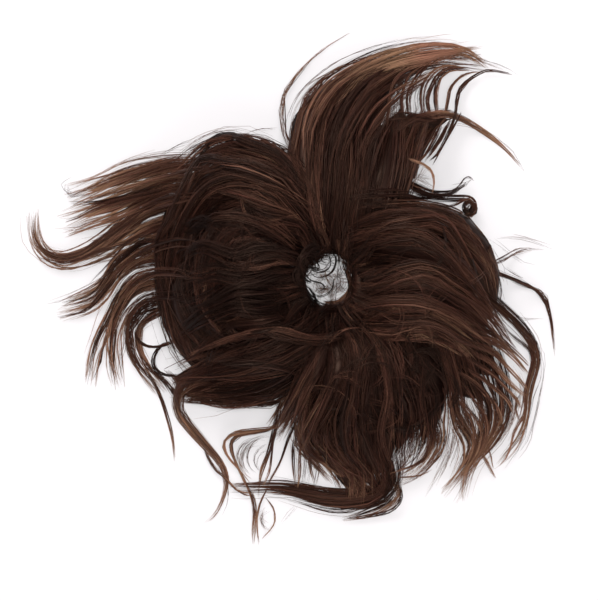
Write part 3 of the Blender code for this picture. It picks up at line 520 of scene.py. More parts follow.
HAIR["bottom_curls"] = [
    loose([(-24, -62, 14), (-30, -73, 6), (-42, -76, 0), (-50, -78, 0), (-51, -84, 0), (-49, -91, 0),
           (-45, -99, 0), (-41, -108, 0), (-39, -120, 0), (-40, -134, 0)], 1.6, 1.6, 0.6, 0.72, 3, wave=0.8,
          step=4, clump=0.9),
    loose([(-26, -58, 16), (-29, -74, 6), (-31, -82, 1), (-34, -92, 0), (-37, -102, 0), (-37, -110, 0)], 2.2,
          2, 0.5, 0.45, 4, wave=0.8, step=5, clump=0.9),
    loose([(-16, -66, 14), (-22, -79, 3), (-26, -90, 0), (-31, -99, 0), (-35, -107, 0)], 1.4, 1.4, 0.6, 0.35,
          3, wave=0.8, step=5, clump=0.9),
    curled([(-22, -70), (-31, -73), (-40, -74), (-48, -75), (-53, -78), (-55, -83), (-51, -90), (-46, -95),
            (-42, -100), (-38, -105)], 1.8, 0.7),
    curled([(-24, -72), (-32, -74), (-46, -76), (-54, -79), (-54, -85), (-50, -91), (-43, -99)], 1.3, 0.8),
    curled([(-30, -75), (-41, -76), (-49, -78), (-51, -81), (-51, -85), (-48, -92), (-45, -99), (-42, -106)],
           1.3, 0.6),
    curled([(-28, -70), (-30, -78), (-33, -87), (-36, -94), (-37, -102)], 1.8),
    curled([(-29, -76), (-31, -90), (-32, -96), (-36, -104)], 1.3, 0.6),
    curled([(-42, -103), (-40, -108), (-39, -116), (-40, -124), (-40, -132)], 1.8, 0.6),
    curled([(-32, -102), (-36, -109), (-38, -116), (-38, -124), (-37, -132)], 1.8, 0.7),
    curled([(-34, -108), (-30, -113), (-29, -120), (-32, -125), (-36, -129)], 0.8, 0.8),
    *[faint(curl(x, y, size, start, turns), step=3, wave=2)
      for x, y, size, start, turns in (
          (-33, -88, 10, 60, 0.5), (-35, -89, 11, 80, 0.45), (-37, -90, 9, 70, 0.5), (-32, -90, 7, 80, 0.5),
          (-39, -88, 9, 60, 0.5), (-31, -119, 5, 90, 0.5), (-33, -118, 4, 90, 0.5))],
    *[faint([(x, -80), (x + 1, -92), (x - 1, -104)], wave=2) for x in (-19, -17, -15, -13, -10, -7)],
]

HAIR["bottom_sweep"] = [
    loose([(27, -86, 10), (29, -99, 5), (20, -108, 1), (0, -109, 0), (-28, -103, 0), (-52, -103, 0)], 12, 6,
          0.45, 0.34, 20, root=0.8, strands=11, wave=5, step=5, core=0.6, clump=0.8, ripe=0.7),
    loose([(28, -96, 4), (33, -107, 0), (20, -116, 0), (5, -119, 0)], 4, 3, 0.6, 0.72, 4, wave=5, step=5),
    laid([(26, -94), (24, -107), (8, -111), (-6, -110), (-24, -106), (-38, -105)], 5, 0.6, tip=0.3),
    laid([(28, -98), (26, -110), (18, -111), (8, -114), (-2, -114), (-14, -111), (-24, -109)], 4, 0.35, 5),
    laid([(26, -100), (30, -105), (28, -110), (14, -116), (4, -119)], 2, 0.4, 3, step=3.5),
    laid([(30, -94), (33, -102), (34, -108), (30, -114), (18, -117), (6, -119)], 2, 0.4, 3, step=3.5),
    faint([(-16, -112), (-22, -117), (-26, -122)], 2),
]

HAIR["right_fan"] = [
    bulk([(22, -22, 22), (30, -44, 18), (34, -64, 12), (32, -84, 4), (24, -94, 2)], 28, 20, 0.7, 0.12, 0.85),
    bulk([(28, -20, 20), (40, -38, 16), (47, -56, 10), (46, -76, 5), (38, -90, 1)], 28, 22, 0.7, 0.12, 0.85),
    bulk([(36, -10, 22), (50, -26, 18), (60, -40, 13), (66, -54, 7)], 28, 18, 0.7, 0.3, 0.8),
    loose([(40, -26, 26), (41, -48, 19), (46, -66, 9), (50, -80, 2), (42, -92, 0), (30, -98, 0)], 15, 12,
          0.9, 0.35, 16, wave=8, core=0.3),
    loose([(54, -26, 27), (60, -50, 17), (62, -66, 8), (70, -81, 1), (65, -93, 0), (54, -107, 0)], 10, 10,
          0.5, 0.45, 11, wave=5, core=0.3),
    loose([(66, -26, 25), (72, -48, 15), (78, -64, 6), (75, -80, 0), (68, -94, 0), (65, -110, 0)], 10, 10,
          0.5, 0.45, 11, wave=5, core=0.3),
    loose([(76, -28, 19), (83, -46, 10), (86, -62, 3), (82, -76, 0), (74, -87, 0), (60, -101, 0)], 9, 8, 0.5,
          0.45, 10, wave=5),
    filler([(26, -28, 14), (34, -46, 12), (38, -62, 8), (36, -82, 3)], 28, 14),
    filler([(48, -16, 14), (62, -28, 12), (74, -41, 7), (81, -54, 3)], 26, 10),
    filler([(44, -38, 12), (56, -44, 9), (68, -52, 5), (80, -64, 1)], 18, 8),
    *tangle(14, (26, -62), (54, -34), (6, 14), 9, 0.1),
    *tangle(20, (28, -70), (70, -30), (8, 18), 19, 0.6, **HAIRS),
    strand([(58, -48), (58, -57), (59, -66), (61, -74), (65, -81), (65, -91), (59, -99), (53, -106)],
           2, 0.63),
    strand([(60, -48), (61, -57), (65, -64), (69, -70), (70, -77), (69, -84), (63, -94), (54, -104)],
           2, 0.58),
    strand([(62, -50), (64, -59), (69, -66), (73, -71), (74, -78), (72, -86), (66, -96), (64, -109)],
           2, 0.63),
    strand([(64, -48), (68, -57), (73, -64), (76, -70), (76, -78), (73, -85), (66, -94), (58, -101)], 2.2,
           0.53),
    strand([(70, -46), (74, -53), (79, -61), (80, -69), (78, -77), (73, -85), (67, -92)], 2.4, 0.53),
    strand([(78, -46), (83, -56), (84, -63), (83, -70), (79, -78), (74, -85), (66, -95), (61, -100)], 2.4,
           0.58),
    strand([(80, -48), (86, -59), (88, -65), (85, -71), (80, -79), (75, -85), (69, -91)], 2.2, 0.43),
    strand([(73, -84), (77, -90), (80, -96), (82, -99)], 1.8, 0.83),
    strand([(77, -82), (79, -88), (80, -94)], 1.2, 0.73),
    *[strand(route, 3.4, 0.55, wisps=5, ends=0.1) for route in (
        [(66, -22), (80, -27), (88, -33), (94, -38), (98, -42)],
        [(66, -26), (80, -31), (87, -36), (93, -42), (97, -47)],
        [(66, -30), (79, -35), (85, -42), (92, -49), (97, -55)],
        [(66, -34), (78, -40), (84, -47), (90, -53), (96, -58)],
        [(66, -38), (78, -45), (85, -52), (91, -58), (94, -64)],
        [(64, -42), (74, -48), (81, -54), (87, -60), (90, -67)],
        [(60, -44), (70, -51), (77, -58), (82, -64), (84, -72)])],
    strand([(54, -52), (56, -60), (55, -70), (55, -78), (52, -85), (46, -90)], 1.2, 0.7),
    strand([(56, -54), (57, -62), (57, -74), (55, -84), (48, -92)], 1, 0.8),
    strand([(46, -77), (47, -84), (44, -90), (28, -96)], 2, 0.5),
    strand([(48, -70), (50, -80), (46, -89), (34, -96)], 1.2, 0.7),
    strand([(31, -98), (44, -97), (50, -94)], 1.2, 0.7),
    *[faint([(x, -56), (x + 1, -72), (x - 1, -84), (x - 6, -96)], wave=4)
      for x in (44, 47, 50, 53, 57, 60, 62)],
    *[faint([(x, -58), (x + 4, -70), (x + 3, -82)], wave=4) for x in (62, 66, 70, 78)],
    laid([(26, -72), (38, -74), (48, -67), (54, -60)], 5, 0.2),
    laid([(34, -40), (32, -56), (38, -72), (44, -80)], 7, 0.25, 8),
    laid([(46, -36), (44, -54), (46, -70), (52, -84)], 7, 0.3, 8),
    *[faint(route, wisps=6, fine=0.42, tone=0.75, wave=5) for route in (
        [(60, -70), (56, -90), (46, -108)], [(76, -70), (70, -92), (60, -112)],
        [(56, -56), (60, -72), (64, -84), (58, -100)], [(62, -54), (66, -68), (70, -82), (64, -98)],
        [(70, -54), (76, -68), (76, -82), (66, -96)], [(78, -52), (82, -66), (78, -80), (68, -96)],
        [(84, -44), (90, -56), (88, -70), (78, -86)], [(88, -40), (94, -52), (92, -66), (86, -80)],
        [(50, -60), (54, -74), (52, -88), (40, -98)], [(44, -66), (48, -80), (44, -90), (32, -98)],
        [(60, -52), (66, -62), (70, -74), (68, -88)], [(62, -48), (69, -58), (73, -68), (74, -80)])],
]

HAIR["right_edge_lock"] = [
    loose([(64, 4, 22), (80, -10, 12), (95, -24, 2), (102, -38, 0), (98, -56, 0), (95, -74, 0),
           (82, -92, 0)], 6, 5, 0.3, 0.5, 10, wave=2, step=5, clump=0.8),
    strand([(76, -5), (84, -12), (91, -22), (97, -28), (102, -34), (102, -40), (101, -46), (99, -56),
            (97, -67), (95, -75), (92, -83), (88, -88), (83, -92)], 2.2),
    strand([(80, -20), (90, -28), (98, -34), (100, -38), (98, -46), (96, -53), (95, -58), (96, -63),
            (94, -69), (90, -75), (88, -84), (85, -90), (80, -94)], 1.8),
    strand([(93, -56), (91, -60), (91, -66), (93, -70)], 1.2, 0.5),
    faint([(81, -10), (89, -16), (94, -19), (106, -18)], 2),
    faint([(98, -26), (106, -40), (102, -60), (96, -80), (86, -94)]),
]

HAIR["right_flick"] = [
    loose([(72, 8, 20), (83, 4, 8), (100, -3, 0), (108, -14, 0), (111, -38, 0)], 3, 2, 0.5, 0.5, 5, wave=3),
    loose([(70, 9, 20), (82, 10, 9), (94, 16, 0), (109, 15, 0)], 3, 2, 0.5, 0.5, 3, strands=5, wave=3),
    laid([(79, 6), (91, 0), (104, -5), (107, -10), (109, -17), (112, -39)], 2, 0.4, 3),
]

# How sharp a tube's ends are, how fine a wander is, and the limits of shades and of small numbers
TAPER = 4.0
WANDER_DETAIL = 1.5
SHADE_LIMITS = (0.02, 0.98)
NEXT_TO_NOTHING = 0.05


class Field:
    """A node's output, to reckon with: numbers by + - * / **, vectors by + - and by * with a number."""

    def __init__(self, graph, socket):
        self.graph, self.socket = graph, socket
        self.is_vector = socket.type in ("VECTOR", "RGBA")

    def reckoned(self, operation, first, second=0.0):
        if not any(isinstance(side, Field) and side.is_vector for side in (first, second)):
            return self.graph.add("ShaderNodeMath", {0: first, 1: second}, operation=operation)
        inputs = {0: first, 1: second}
        if operation == "MULTIPLY":
            operation, inputs = "SCALE", {"Vector": first, "Scale": second}
        return self.graph.add("ShaderNodeVectorMath", inputs, operation=operation)

    def __add__(self, other):
        return self.reckoned("ADD", self, other)

    def __sub__(self, other):
        return self.reckoned("SUBTRACT", self, other)

    def __rsub__(self, other):
        return self.reckoned("SUBTRACT", other, self)

    def __mul__(self, other):
        return self.reckoned("MULTIPLY", self, other)

    def __truediv__(self, other):
        return self.reckoned("DIVIDE", self, other)

    def __pow__(self, other):
        return self.reckoned("POWER", self, other)

    def sine(self):
        return self.reckoned("SINE", self)

    def cosine(self):
        return self.reckoned("COSINE", self)

    def size(self):
        return self.reckoned("ABSOLUTE", self)

    def at_least(self, lowest):
        return self.reckoned("MAXIMUM", self, lowest)

    def parts(self):
        """A vector's three numbers."""
        node = self.graph.node("ShaderNodeSeparateXYZ", {0: self})
        return [Field(self.graph, socket) for socket in node.outputs]

    def mapped(self, low, high, first=0.0, last=1.0, **settings):
        """From low to high of this number, first to last."""
        inputs = {0: self, 1: low, 2: high, 3: first, 4: last}
        return self.graph.add("ShaderNodeMapRange", inputs, **settings)


class Graph:
    """A node tree, and the few kinds of step that the trees here are made of."""

    def __init__(self, tree):
        self.tree = tree

    def node(self, kind, inputs=None, **settings):
        """A node with its settings and its inputs, each a value or another node's output."""
        node = self.tree.nodes.new(kind)
        for name, value in settings.items():
            setattr(node, name, value)
        for name, value in (inputs or {}).items():
            if isinstance(value, Field):
                self.tree.links.new(value.socket, node.inputs[name])
            else:
                node.inputs[name].default_value = value
        return node

    def add(self, kind, inputs=None, out=0, **settings):
        return Field(self, self.node(kind, inputs, **settings).outputs[out])

    def position(self):
        return self.add("GeometryNodeInputPosition")

    def factor(self):
        return self.add("GeometryNodeSplineParameter", out="Factor")

    def vector(self, *parts):
        return self.add("ShaderNodeCombineXYZ", dict(enumerate(parts)))

    def noise(self, place, detail, out=0):
        return self.add("ShaderNodeTexNoise", {"Vector": place, "Scale": 1.0, "Detail": detail}, out)

    def mixed(self, share, first, second, **settings):
        return self.add("ShaderNodeMix", {0: share, 6: first, 7: second}, 2, data_type="RGBA", **settings)

    def stored(self, name, kind="FLOAT"):
        return self.add("GeometryNodeInputNamedAttribute", {"Name": name}, data_type=kind)

    def store(self, geometry, name, value, kind="FLOAT", domain="POINT"):
        inputs = {"Geometry": geometry, "Name": name, "Value": value}
        return self.add("GeometryNodeStoreNamedAttribute", inputs, data_type=kind, domain=domain)

    def placed(self, geometry, **inputs):
        """The geometry with a new Position or an Offset."""
        return self.add("GeometryNodeSetPosition", {"Geometry": geometry, **inputs})

    def copies(self, curves, count):
        """Each spline as often as its stored count says."""
        inputs = {"Geometry": curves, "Amount": self.stored(count, "INT")}
        return self.add("GeometryNodeDuplicateElements", inputs, domain="SPLINE")

    def cut(self, curves, start, end, length):
        """The curves from start to end, shares of each, in straight pieces of this length."""
        inputs = {"Curve": curves, "Start": start, "End": end}
        curves = self.add("GeometryNodeTrimCurve", inputs, mode="FACTOR")
        return self.add("GeometryNodeResampleCurve", {"Curve": curves, "Length": length}, mode="LENGTH")

    def rounded(self, profile):
        """A profile that knows how far round it each point is."""
        return self.store(profile, "round", self.factor())

    def circle(self, sides, radius):
        inputs = {"Resolution": sides, "Radius": radius}
        return self.add("GeometryNodeCurvePrimitiveCircle", inputs, mode="RADIUS")

    def chance(self, seed, low=(0.0, 0.0, 0.0), high=(1.0, 1.0, 1.0)):
        """A random vector that is the same all along one spline."""
        inputs = {0: self.add("GeometryNodeInputIndex")}
        spline = self.add("GeometryNodeFieldOnDomain", inputs, domain="CURVE", data_type="INT")
        inputs = {0: low, 1: high, "ID": spline, "Seed": seed}
        return self.add("FunctionNodeRandomValue", inputs, data_type="FLOAT_VECTOR")

    def wander(self, moved_by, frequency, amount):
        """A smooth shift that differs from one spline to the next."""
        noise = self.noise(self.position() * frequency + moved_by, WANDER_DETAIL, "Color")
        return (noise - (0.5, 0.5, 0.5)) * amount

    def around(self, turn, reach):
        """The place on a lock's oval at this turn, in radians, and this share of its half size."""
        across, upward = self.stored("across", "FLOAT_VECTOR"), self.stored("upward", "FLOAT_VECTOR")
        return (across * turn.cosine() + upward * turn.sine()) * reach

    def without(self, curves, name):
        """The curves on which this stored number isn't close to nothing."""
        bare = self.add("FunctionNodeCompare", {0: self.stored(name), 1: NEXT_TO_NOTHING},
                        data_type="FLOAT", operation="LESS_THAN")
        inputs = {"Geometry": curves, "Selection": bare}
        return self.add("GeometryNodeDeleteGeometry", inputs, domain="CURVE")

    def above_table(self, geometry, lowest):
        """Lifts to this height what would lie below it."""
        across, up, height = self.position().parts()
        return self.placed(geometry, Position=self.vector(across, up, height.at_least(lowest)))

    def bake_map(self, geometry, band):
        """The map that the finish reads: along the lock, and its shade with a narrow band round it."""
        side = self.stored("round") - 0.5
        low, high = SHADE_LIMITS
        shade = self.add("ShaderNodeClamp", {0: self.stored("shade"), 1: low, 2: high}) + side * band
        place = self.vector(self.stored("along") * self.stored("ripe"), shade)
        return self.store(geometry, "OFBake", place, "FLOAT2", "CORNER")

    def tubes(self, curves, girth, share, sides, band):
        """Closed tubes along the curves: share gives their radius at the ends and what the middle adds."""
        outwards = self.factor() * 2.0 - 1.0
        taper = (1.0 - outwards.size() ** TAPER) * share[1]
        inputs = {"Curve": curves, "Profile Curve": self.rounded(self.circle(sides, 1.0)),
                  "Scale": girth * (taper + share[0]), "Fill Caps": True}
        return self.bake_map(self.add("GeometryNodeCurveToMesh", inputs), band)

    def finish(self, geometry, material):
        """The end of each tree: smooth shading, real geometry and its material."""
        geometry = self.add("GeometryNodeSetShadeSmooth", {"Geometry": geometry})
        geometry = self.add("GeometryNodeRealizeInstances", {"Geometry": geometry})
        geometry = self.add("GeometryNodeSetMaterial", {"Geometry": geometry, "Material": material})
        self.node("NodeGroupOutput", {"Geometry": geometry})
        return self.tree


def new_graph(name, **inputs):
    """A Geometry Nodes graph with geometry in and out, and what its inputs give by name."""
    tree = bpy.data.node_groups.new(name, "GeometryNodeTree")
    graph = Graph(tree)
    for socket, kind in {"Geometry": "Geometry", **inputs, "Material": "Material"}.items():
        tree.interface.new_socket(socket.replace("_", " "), in_out="INPUT", socket_type="NodeSocket" + kind)
    tree.interface.new_socket("Geometry", in_out="OUTPUT", socket_type="NodeSocketGeometry")
    return graph, {socket.name: Field(graph, socket) for socket in graph.node("NodeGroupInput").outputs}


# Wisps and fibres: the shares and powers that spread them over a lock
TOP_SHARE = 0.45
TWIST = 1.2
SWING_POWER = 0.7
WISP_SHADES = 0.42
WISP_LUCK = 1.6
WISP_FREQUENCY = 32.0
FIBRE_WIDTH = 0.33 * MM
FIBRE_SIDES = 3
FIBRE_SHADES = 0.12
FIBRE_LUCK = 2.5
FIBRE_FREQUENCY = 75.0
FIBRE_BAND = 0.006
FIBRE_SHARE = (0.16, 0.34)
STRAY = 2.0
STRAY_POWER = 12.0
EARLIEST_FRIZZ = 0.2
THINNEST = 0.7
THICKNESS_LUCK = 0.6

# The solid middle of a wisp, painted a little darker than its fibres as the shade inside the wisp
BODY_SIDES = 4
BODY_START = 0.4
BODY_END = 0.6
BODY_STEPS = 1.8
BODY_LOW = (0.45, 0.0, 0.0)
BODY_HIGH = (1.55, 1.0, 1.0)
BODY_PAINTED_SHADE = 0.06
BODY_BAND = 0.05
BODY_SHARE = (0.04, 0.96)
BODY_LINE_ABOVE = 0.4 * MM
BODY_ABOVE = 0.1 * MM

# The dark core of a lock, painted darker than its fibres as the shade inside the lock
CORE_SIDES = 20
CORE_UNTIL = 0.85
CORE_END_POWER = 5.0
CORE_PAINTED_SHADE = 0.15
CORE_BAND = 0.16
CORE_ABOVE = 0.2 * MM
CORE_DETAIL = 2.0
FLUTES = 2.5
FLUTES_ALONG = 3.0
FLUTES_MOVED = 20.0
FLUTE_DEPTH = 0.5
FLUTE_LEAST = 0.75
CORE_ROOT = (0.0, 0.3, 0.45)


def core_of(graph, locks):
    """The dark body of each lock that has one: its oval swept along it, fluted like packed fibres, and
    darker than the fibres as painted shade.
    """
    inputs = {"Curve": graph.without(locks, "core"),
              "Profile Curve": graph.rounded(graph.circle(CORE_SIDES, MM)), "Fill Caps": True}
    core = graph.add("GeometryNodeCurveToMesh", inputs)
    # Painted shade: the core is darker than the lock's fibres, as the hair inside a lock lies in shade
    core = graph.bake_map(graph.store(core, "shade", graph.stored("shade") - CORE_PAINTED_SHADE), CORE_BAND)
    turn = graph.stored("round") * math.tau
    along, middle = graph.stored("along"), graph.stored("middle", "FLOAT_VECTOR")
    place = graph.vector(turn.cosine(), turn.sine(), along * FLUTES_ALONG) * FLUTES + middle * FLUTES_MOVED
    swell = graph.noise(place, CORE_DETAIL) * FLUTE_DEPTH + FLUTE_LEAST
    left = (1.0 - (along / CORE_UNTIL) ** CORE_END_POWER).at_least(0.0)
    reach = graph.stored("core") * swell * left * along.mapped(*CORE_ROOT)
    core = graph.placed(core, Position=middle + graph.around(turn, reach))
    return graph.above_table(core, CORE_ABOVE)


def wisps_of(graph, locks, seed):
    """Copies of each lock's line spread over its oval, each with a shade of its own."""
    wisps = graph.copies(locks, "wisps")
    luck = graph.chance(seed)
    reach, turn, shade = luck.parts()
    reach = reach ** graph.stored("hug")
    turn = turn * math.tau
    along = graph.stored("along")
    turn = turn + turn.cosine() * TOP_SHARE + (along - 0.5) * TWIST
    swing = graph.stored("wave") * along ** SWING_POWER
    shift = graph.around(turn, reach) + graph.wander(luck * WISP_LUCK, WISP_FREQUENCY, swing)
    wisps = graph.placed(wisps, Offset=shift)
    return graph.store(wisps, "shade", graph.stored("tone") + (shade - 0.5) * WISP_SHADES)


def wisp_bodies(graph, wisps, seed):
    """The solid middle of each wisp that has one, a little darker than the fibres round it as painted shade.
    """
    kept = graph.cut(graph.without(wisps, "body"), graph.stored("early") * BODY_START,
                     1.0 - graph.stored("ends") * BODY_END, graph.stored("step") * BODY_STEPS)
    kept = graph.above_table(kept, BODY_LINE_ABOVE)
    luck = graph.chance(seed + 3.0, BODY_LOW, BODY_HIGH).parts()[0]
    girth = graph.stored("wisp_size") * graph.stored("body") * luck
    # Painted shade: the body is a little darker than the fibres round it
    kept = graph.store(kept, "shade", graph.stored("shade") - BODY_PAINTED_SHADE)
    return graph.above_table(graph.tubes(kept, girth, BODY_SHARE, BODY_SIDES, BODY_BAND), BODY_ABOVE)


def fibres_of(graph, wisps, given):
    """The single fibres round each wisp's line, a few of them far from it."""
    fibres = graph.copies(wisps, "strands")
    luck = graph.chance(given["Seed"] + 1.0, (-1.0, -1.0, -1.0))
    rare, lead, trail = graph.chance(given["Seed"] + 2.0).parts()
    rare = rare ** STRAY_POWER * given["Stray"]
    spread = graph.stored("wisp_size") * (rare + 1.0)
    frizz = graph.stored("frizz") * (rare + 1.0) * (graph.stored("along") + EARLIEST_FRIZZ)
    shift = luck * spread + graph.wander(luck * FIBRE_LUCK, FIBRE_FREQUENCY, frizz)
    fibres = graph.placed(fibres, Offset=shift)
    fibres = graph.store(fibres, "shade", graph.stored("shade") + (lead - 0.5) * FIBRE_SHADES)
    fibres = graph.cut(fibres, lead * graph.stored("early"), 1.0 - trail * graph.stored("ends"),
                       graph.stored("step"))
    fibres = graph.above_table(fibres, FIBRE_WIDTH)
    girth = given["Fibre Width"] * graph.stored("fine") * (lead * THICKNESS_LUCK + THINNEST)
    return graph.tubes(fibres, girth, FIBRE_SHARE, FIBRE_SIDES, FIBRE_BAND)


def hair_tree():
    """Guides in, hair out: each guide becomes a dark core and wisps, and each wisp becomes fibres."""
    graph, given = new_graph("hair_strands", Fibre_Width="Float", Stray="Float", Seed="Int")
    locks = graph.add("GeometryNodeMeshToCurve", {"Mesh": given["Geometry"]})
    locks = graph.store(locks, "along", graph.factor())
    locks = graph.store(locks, "middle", graph.position(), "FLOAT_VECTOR")
    wisps = wisps_of(graph, locks, given["Seed"])
    bodies = wisp_bodies(graph, wisps, given["Seed"])
    hair = graph.node("GeometryNodeJoinGeometry")
    for shape in (core_of(graph, locks), bodies, fibres_of(graph, wisps, given)):
        graph.tree.links.new(shape.socket, hair.inputs[0])
    return graph.finish(Field(graph, hair.outputs[0]), given["Material"])


# How guides run. Spacings and heights are in millimetres, DRAPE_REACH is in points of a route, FLAT a
# share of a lock's width, and DRAPE_FROM the height in metres from which a route is dropped.
GUIDE_SPACING = 4.0
DRAPE_SPACING = 3.0
DRAPE_REACH = 2
DRAPE_FROM = 0.2
ROOT_PATH = ((24.0, 10.0), (21.0, 15.0))
ROOT_TOP = 20.5
FULLEST_AT = 0.35
FLAT = 0.6
LEAST_LENGTH = 1e-6
FEWEST_WITH_FLYAWAYS = 8

# How wide a lock's wisps are at its root, along it and at its tip, and how they hug its surface
MERGED_UNTIL = 0.5
MERGED_CLUMP = 1.3
GATHERED_UNTIL = 0.2
GATHERED_TO = 0.7
WISPS_NARROW = 0.6
HUG_WITH_CORE = 0.3
HUG_ALONE = 0.55

COUNTS = ("wisps", "strands")
LENGTHS = ("wave", "frizz", "step")
AS_GIVEN = (*COUNTS, *LENGTHS, "tone", "core", "fine", "early", "ripe", "body", "ends")
VECTORS = ("across", "upward")
GUIDE_FIELDS = (*VECTORS, *AS_GIVEN, "shade", "hug", "wisp_size")


def surface_under():
    """The frame's hair solids, to lay routes on."""
    points, faces = [], []
    for name in HAIR:
        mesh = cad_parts[name].data
        start = len(points)
        points.extend(vert.co for vert in mesh.vertices)
        faces.extend([start + index for index in face.vertices] for face in mesh.polygons)
    return BVHTree.FromPolygons(points, faces)


def smooth_route(points, spacing):
    """A smooth curve through the points, sampled about evenly."""
    points = np.array(points, float)
    padded = np.vstack((2 * points[0] - points[1], points, 2 * points[-1] - points[-2]))
    samples = []
    for index in range(len(points) - 1):
        before, start, end, after = padded[index:index + 4]
        steps = max(2, round(np.linalg.norm(end - start) / spacing))
        for t in np.arange(steps) / steps:
            samples.append(0.5 * (2 * start + (end - before) * t
                                  + (2 * before - 5 * start + 4 * end - after) * t ** 2
                                  + (3 * start - before - 3 * end + after) * t ** 3))
    samples.append(points[-1])
    return np.array(samples)


def laid_route(points, lift, surface):
    """A route on what is under it, smoothed so that it doesn't follow each dip."""
    flat = smooth_route(points, DRAPE_SPACING)
    heights = []
    for across, up in flat:
        above = Vector((across, up, 0.0)) * MM + Vector(LOOP_CENTRE) + Vector((0.0, 0.0, DRAPE_FROM))
        hit = surface.ray_cast(above, Vector((0.0, 0.0, -1.0)))[0]
        heights.append(hit.z / MM if hit else 0.0)
    spans = [slice(max(0, index - DRAPE_REACH), index + DRAPE_REACH + 1) for index in range(len(heights))]
    near = [max(heights[span]) for span in spans]
    calm = [np.mean(near[span]) for span in spans]
    return np.column_stack((flat, np.array(calm) + lift))


def eased(share):
    return 0.5 * (1.0 - np.cos(np.pi * share))


def fullness(along, root, tip):
    """The share of a lock's width at these shares of its route, eased from root to full to tip."""
    rising = root + (1.0 - root) * eased(along / FULLEST_AT)
    falling = 1.0 + (tip - 1.0) * eased((along - FULLEST_AT) / (1.0 - FULLEST_AT))
    return np.where(along < FULLEST_AT, rising, falling)


def guide_route(lock, surface):
    points = list(lock.route)
    if len(points[0]) == 2:
        return laid_route(points, lock.lift, surface)
    if lock.rooted:
        away = np.array(points[0][:2]) / np.linalg.norm(points[0][:2])
        points[:1] = [(*(away * reach), height) for reach, height in (*ROOT_PATH, (ROOT_TOP, points[0][2]))]
    return smooth_route(points, GUIDE_SPACING)


def guide_mesh(name, locks, surface):
    """The locks' middle lines, with the sizes and counts that the hair tree reads."""
    fields = {name: [] for name in GUIDE_FIELDS}
    points, edges = [], []
    for lock in locks:
        route = guide_route(lock, surface)
        along = np.linspace(0.0, 1.0, len(route))
        share = fullness(along, lock.root, lock.tip)
        half_width = 0.5 * lock.width * share
        half_thickness = 0.5 * (lock.thickness or FLAT * lock.width) * share
        route[:, 2] = np.maximum(route[:, 2], FLAT * half_thickness)
        ahead = np.gradient(route, axis=0)
        ahead /= np.linalg.norm(ahead, axis=1)[:, None]
        sideways = np.cross(ahead, UP)
        sideways /= np.maximum(np.linalg.norm(sideways, axis=1), LEAST_LENGTH)[:, None]
        upward = np.cross(sideways, ahead)
        start, count = len(points), len(route)
        points.extend(route * MM + LOOP_CENTRE)
        edges.extend((start + index, start + index + 1) for index in range(count - 1))
        fields["across"].extend(sideways * (half_width * MM)[:, None])
        fields["upward"].extend(upward * (half_thickness * MM)[:, None])
        gathered = 1.0
        if lock.rooted:
            gathered = GATHERED_TO + (1.0 - GATHERED_TO) * np.minimum(1.0, along / GATHERED_UNTIL)
        merged = max(0.0, MERGED_CLUMP - lock.clump) * np.maximum(0.0, 1.0 - along / MERGED_UNTIL)
        breadth = (lock.clump * (1.0 - WISPS_NARROW * along) + merged) / math.sqrt(lock.wisps) * gathered
        fields["wisp_size"].extend(np.sqrt(half_width * half_thickness) * MM * breadth)
        for field in AS_GIVEN:
            scale = MM if field in LENGTHS else 1
            fields[field].extend([getattr(lock, field) * scale] * count)
        fields["shade"].extend([lock.tone] * count)
        fields["hug"].extend([HUG_WITH_CORE if lock.core else HUG_ALONE] * count)
    mesh = bpy.data.meshes.new(name)
    mesh.from_pydata(points, edges, [])
    for field, values in fields.items():
        kind = "FLOAT_VECTOR" if field in VECTORS else "INT" if field in COUNTS else "FLOAT"
        layer = mesh.attributes.new(field, kind, "POINT")
        values = np.array(values, int if kind == "INT" else float).ravel()
        layer.data.foreach_set("vector" if field in VECTORS else "value", values)
    return mesh


def flyaways(lock):
    """Single hairs that stand a little off a lock, and never over the hole."""
    route = lock.route[1:] if lock.rooted else lock.route
    return lock._replace(route=route, rooted=False, width=1.15 * lock.width,
                         thickness=1.2 * (lock.thickness or FLAT * lock.width),
                         wisps=max(3, round(0.25 * lock.wisps)), strands=2, wave=lock.wave + 1.5,
                         core=0.0, fine=0.5, tone=lock.tone + 0.15, tip=min(1.0, 2.0 * lock.tip),
                         frizz=3.0, early=0.4, clump=1.5, body=0.0, ends=0.42)


def grown(name, mesh, tree, inputs):
    """An object with what the tree makes of the mesh with these inputs, as a plain mesh of its own."""
    obj = bpy.data.objects.new(name, mesh)
    bpy.context.scene.collection.objects.link(obj)
    modifier = obj.modifiers.new("grown", "NODES")
    modifier.node_group = tree
    for item in tree.interface.items_tree:
        if item.item_type == "SOCKET" and item.in_out == "INPUT" and item.name in inputs:
            modifier[item.identifier] = inputs[item.name]
    bpy.context.view_layer.update()
    mesh = bpy.data.meshes.new_from_object(obj.evaluated_get(bpy.context.evaluated_depsgraph_get()))
    obj.modifiers.clear()
    obj.data = mesh
    for layer in list(mesh.attributes):
        if layer.name in (*GUIDE_FIELDS, "middle", "along", "round"):
            mesh.attributes.remove(layer)
    return obj


def hair_piece(node, locks, tree, material, surface, seed):
    name = node + "_hair"
    locks = locks + [flyaways(lock) for lock in locks if lock.wisps >= FEWEST_WITH_FLYAWAYS]
    inputs = {"Fibre Width": FIBRE_WIDTH, "Stray": STRAY, "Seed": seed, "Material": material}
    obj = grown(name, guide_mesh(name, locks, surface), tree, inputs)
    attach(obj, "root")
    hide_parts(node)


# The loop's braided cord, and the band that the hair is sewn to
RING_STEPS = 384
RING_SIDES = 24
RING_MAP = 6.0
BRAID_TURNS = 96.0
BRAID_THREADS = 3.0
BRAID_DEPTH = 0.5 * MM
BAND_WALL = 2.0 * MM
BAND_ROUNDING = 0.4
BAND_CORNER = 4
WOUND_TURNS = 96.0
WOUND_SHARE = 0.3
STITCH_ROWS = 5.0
STITCH_SHARE = 0.2
STITCH_DEPTH = 0.35 * MM


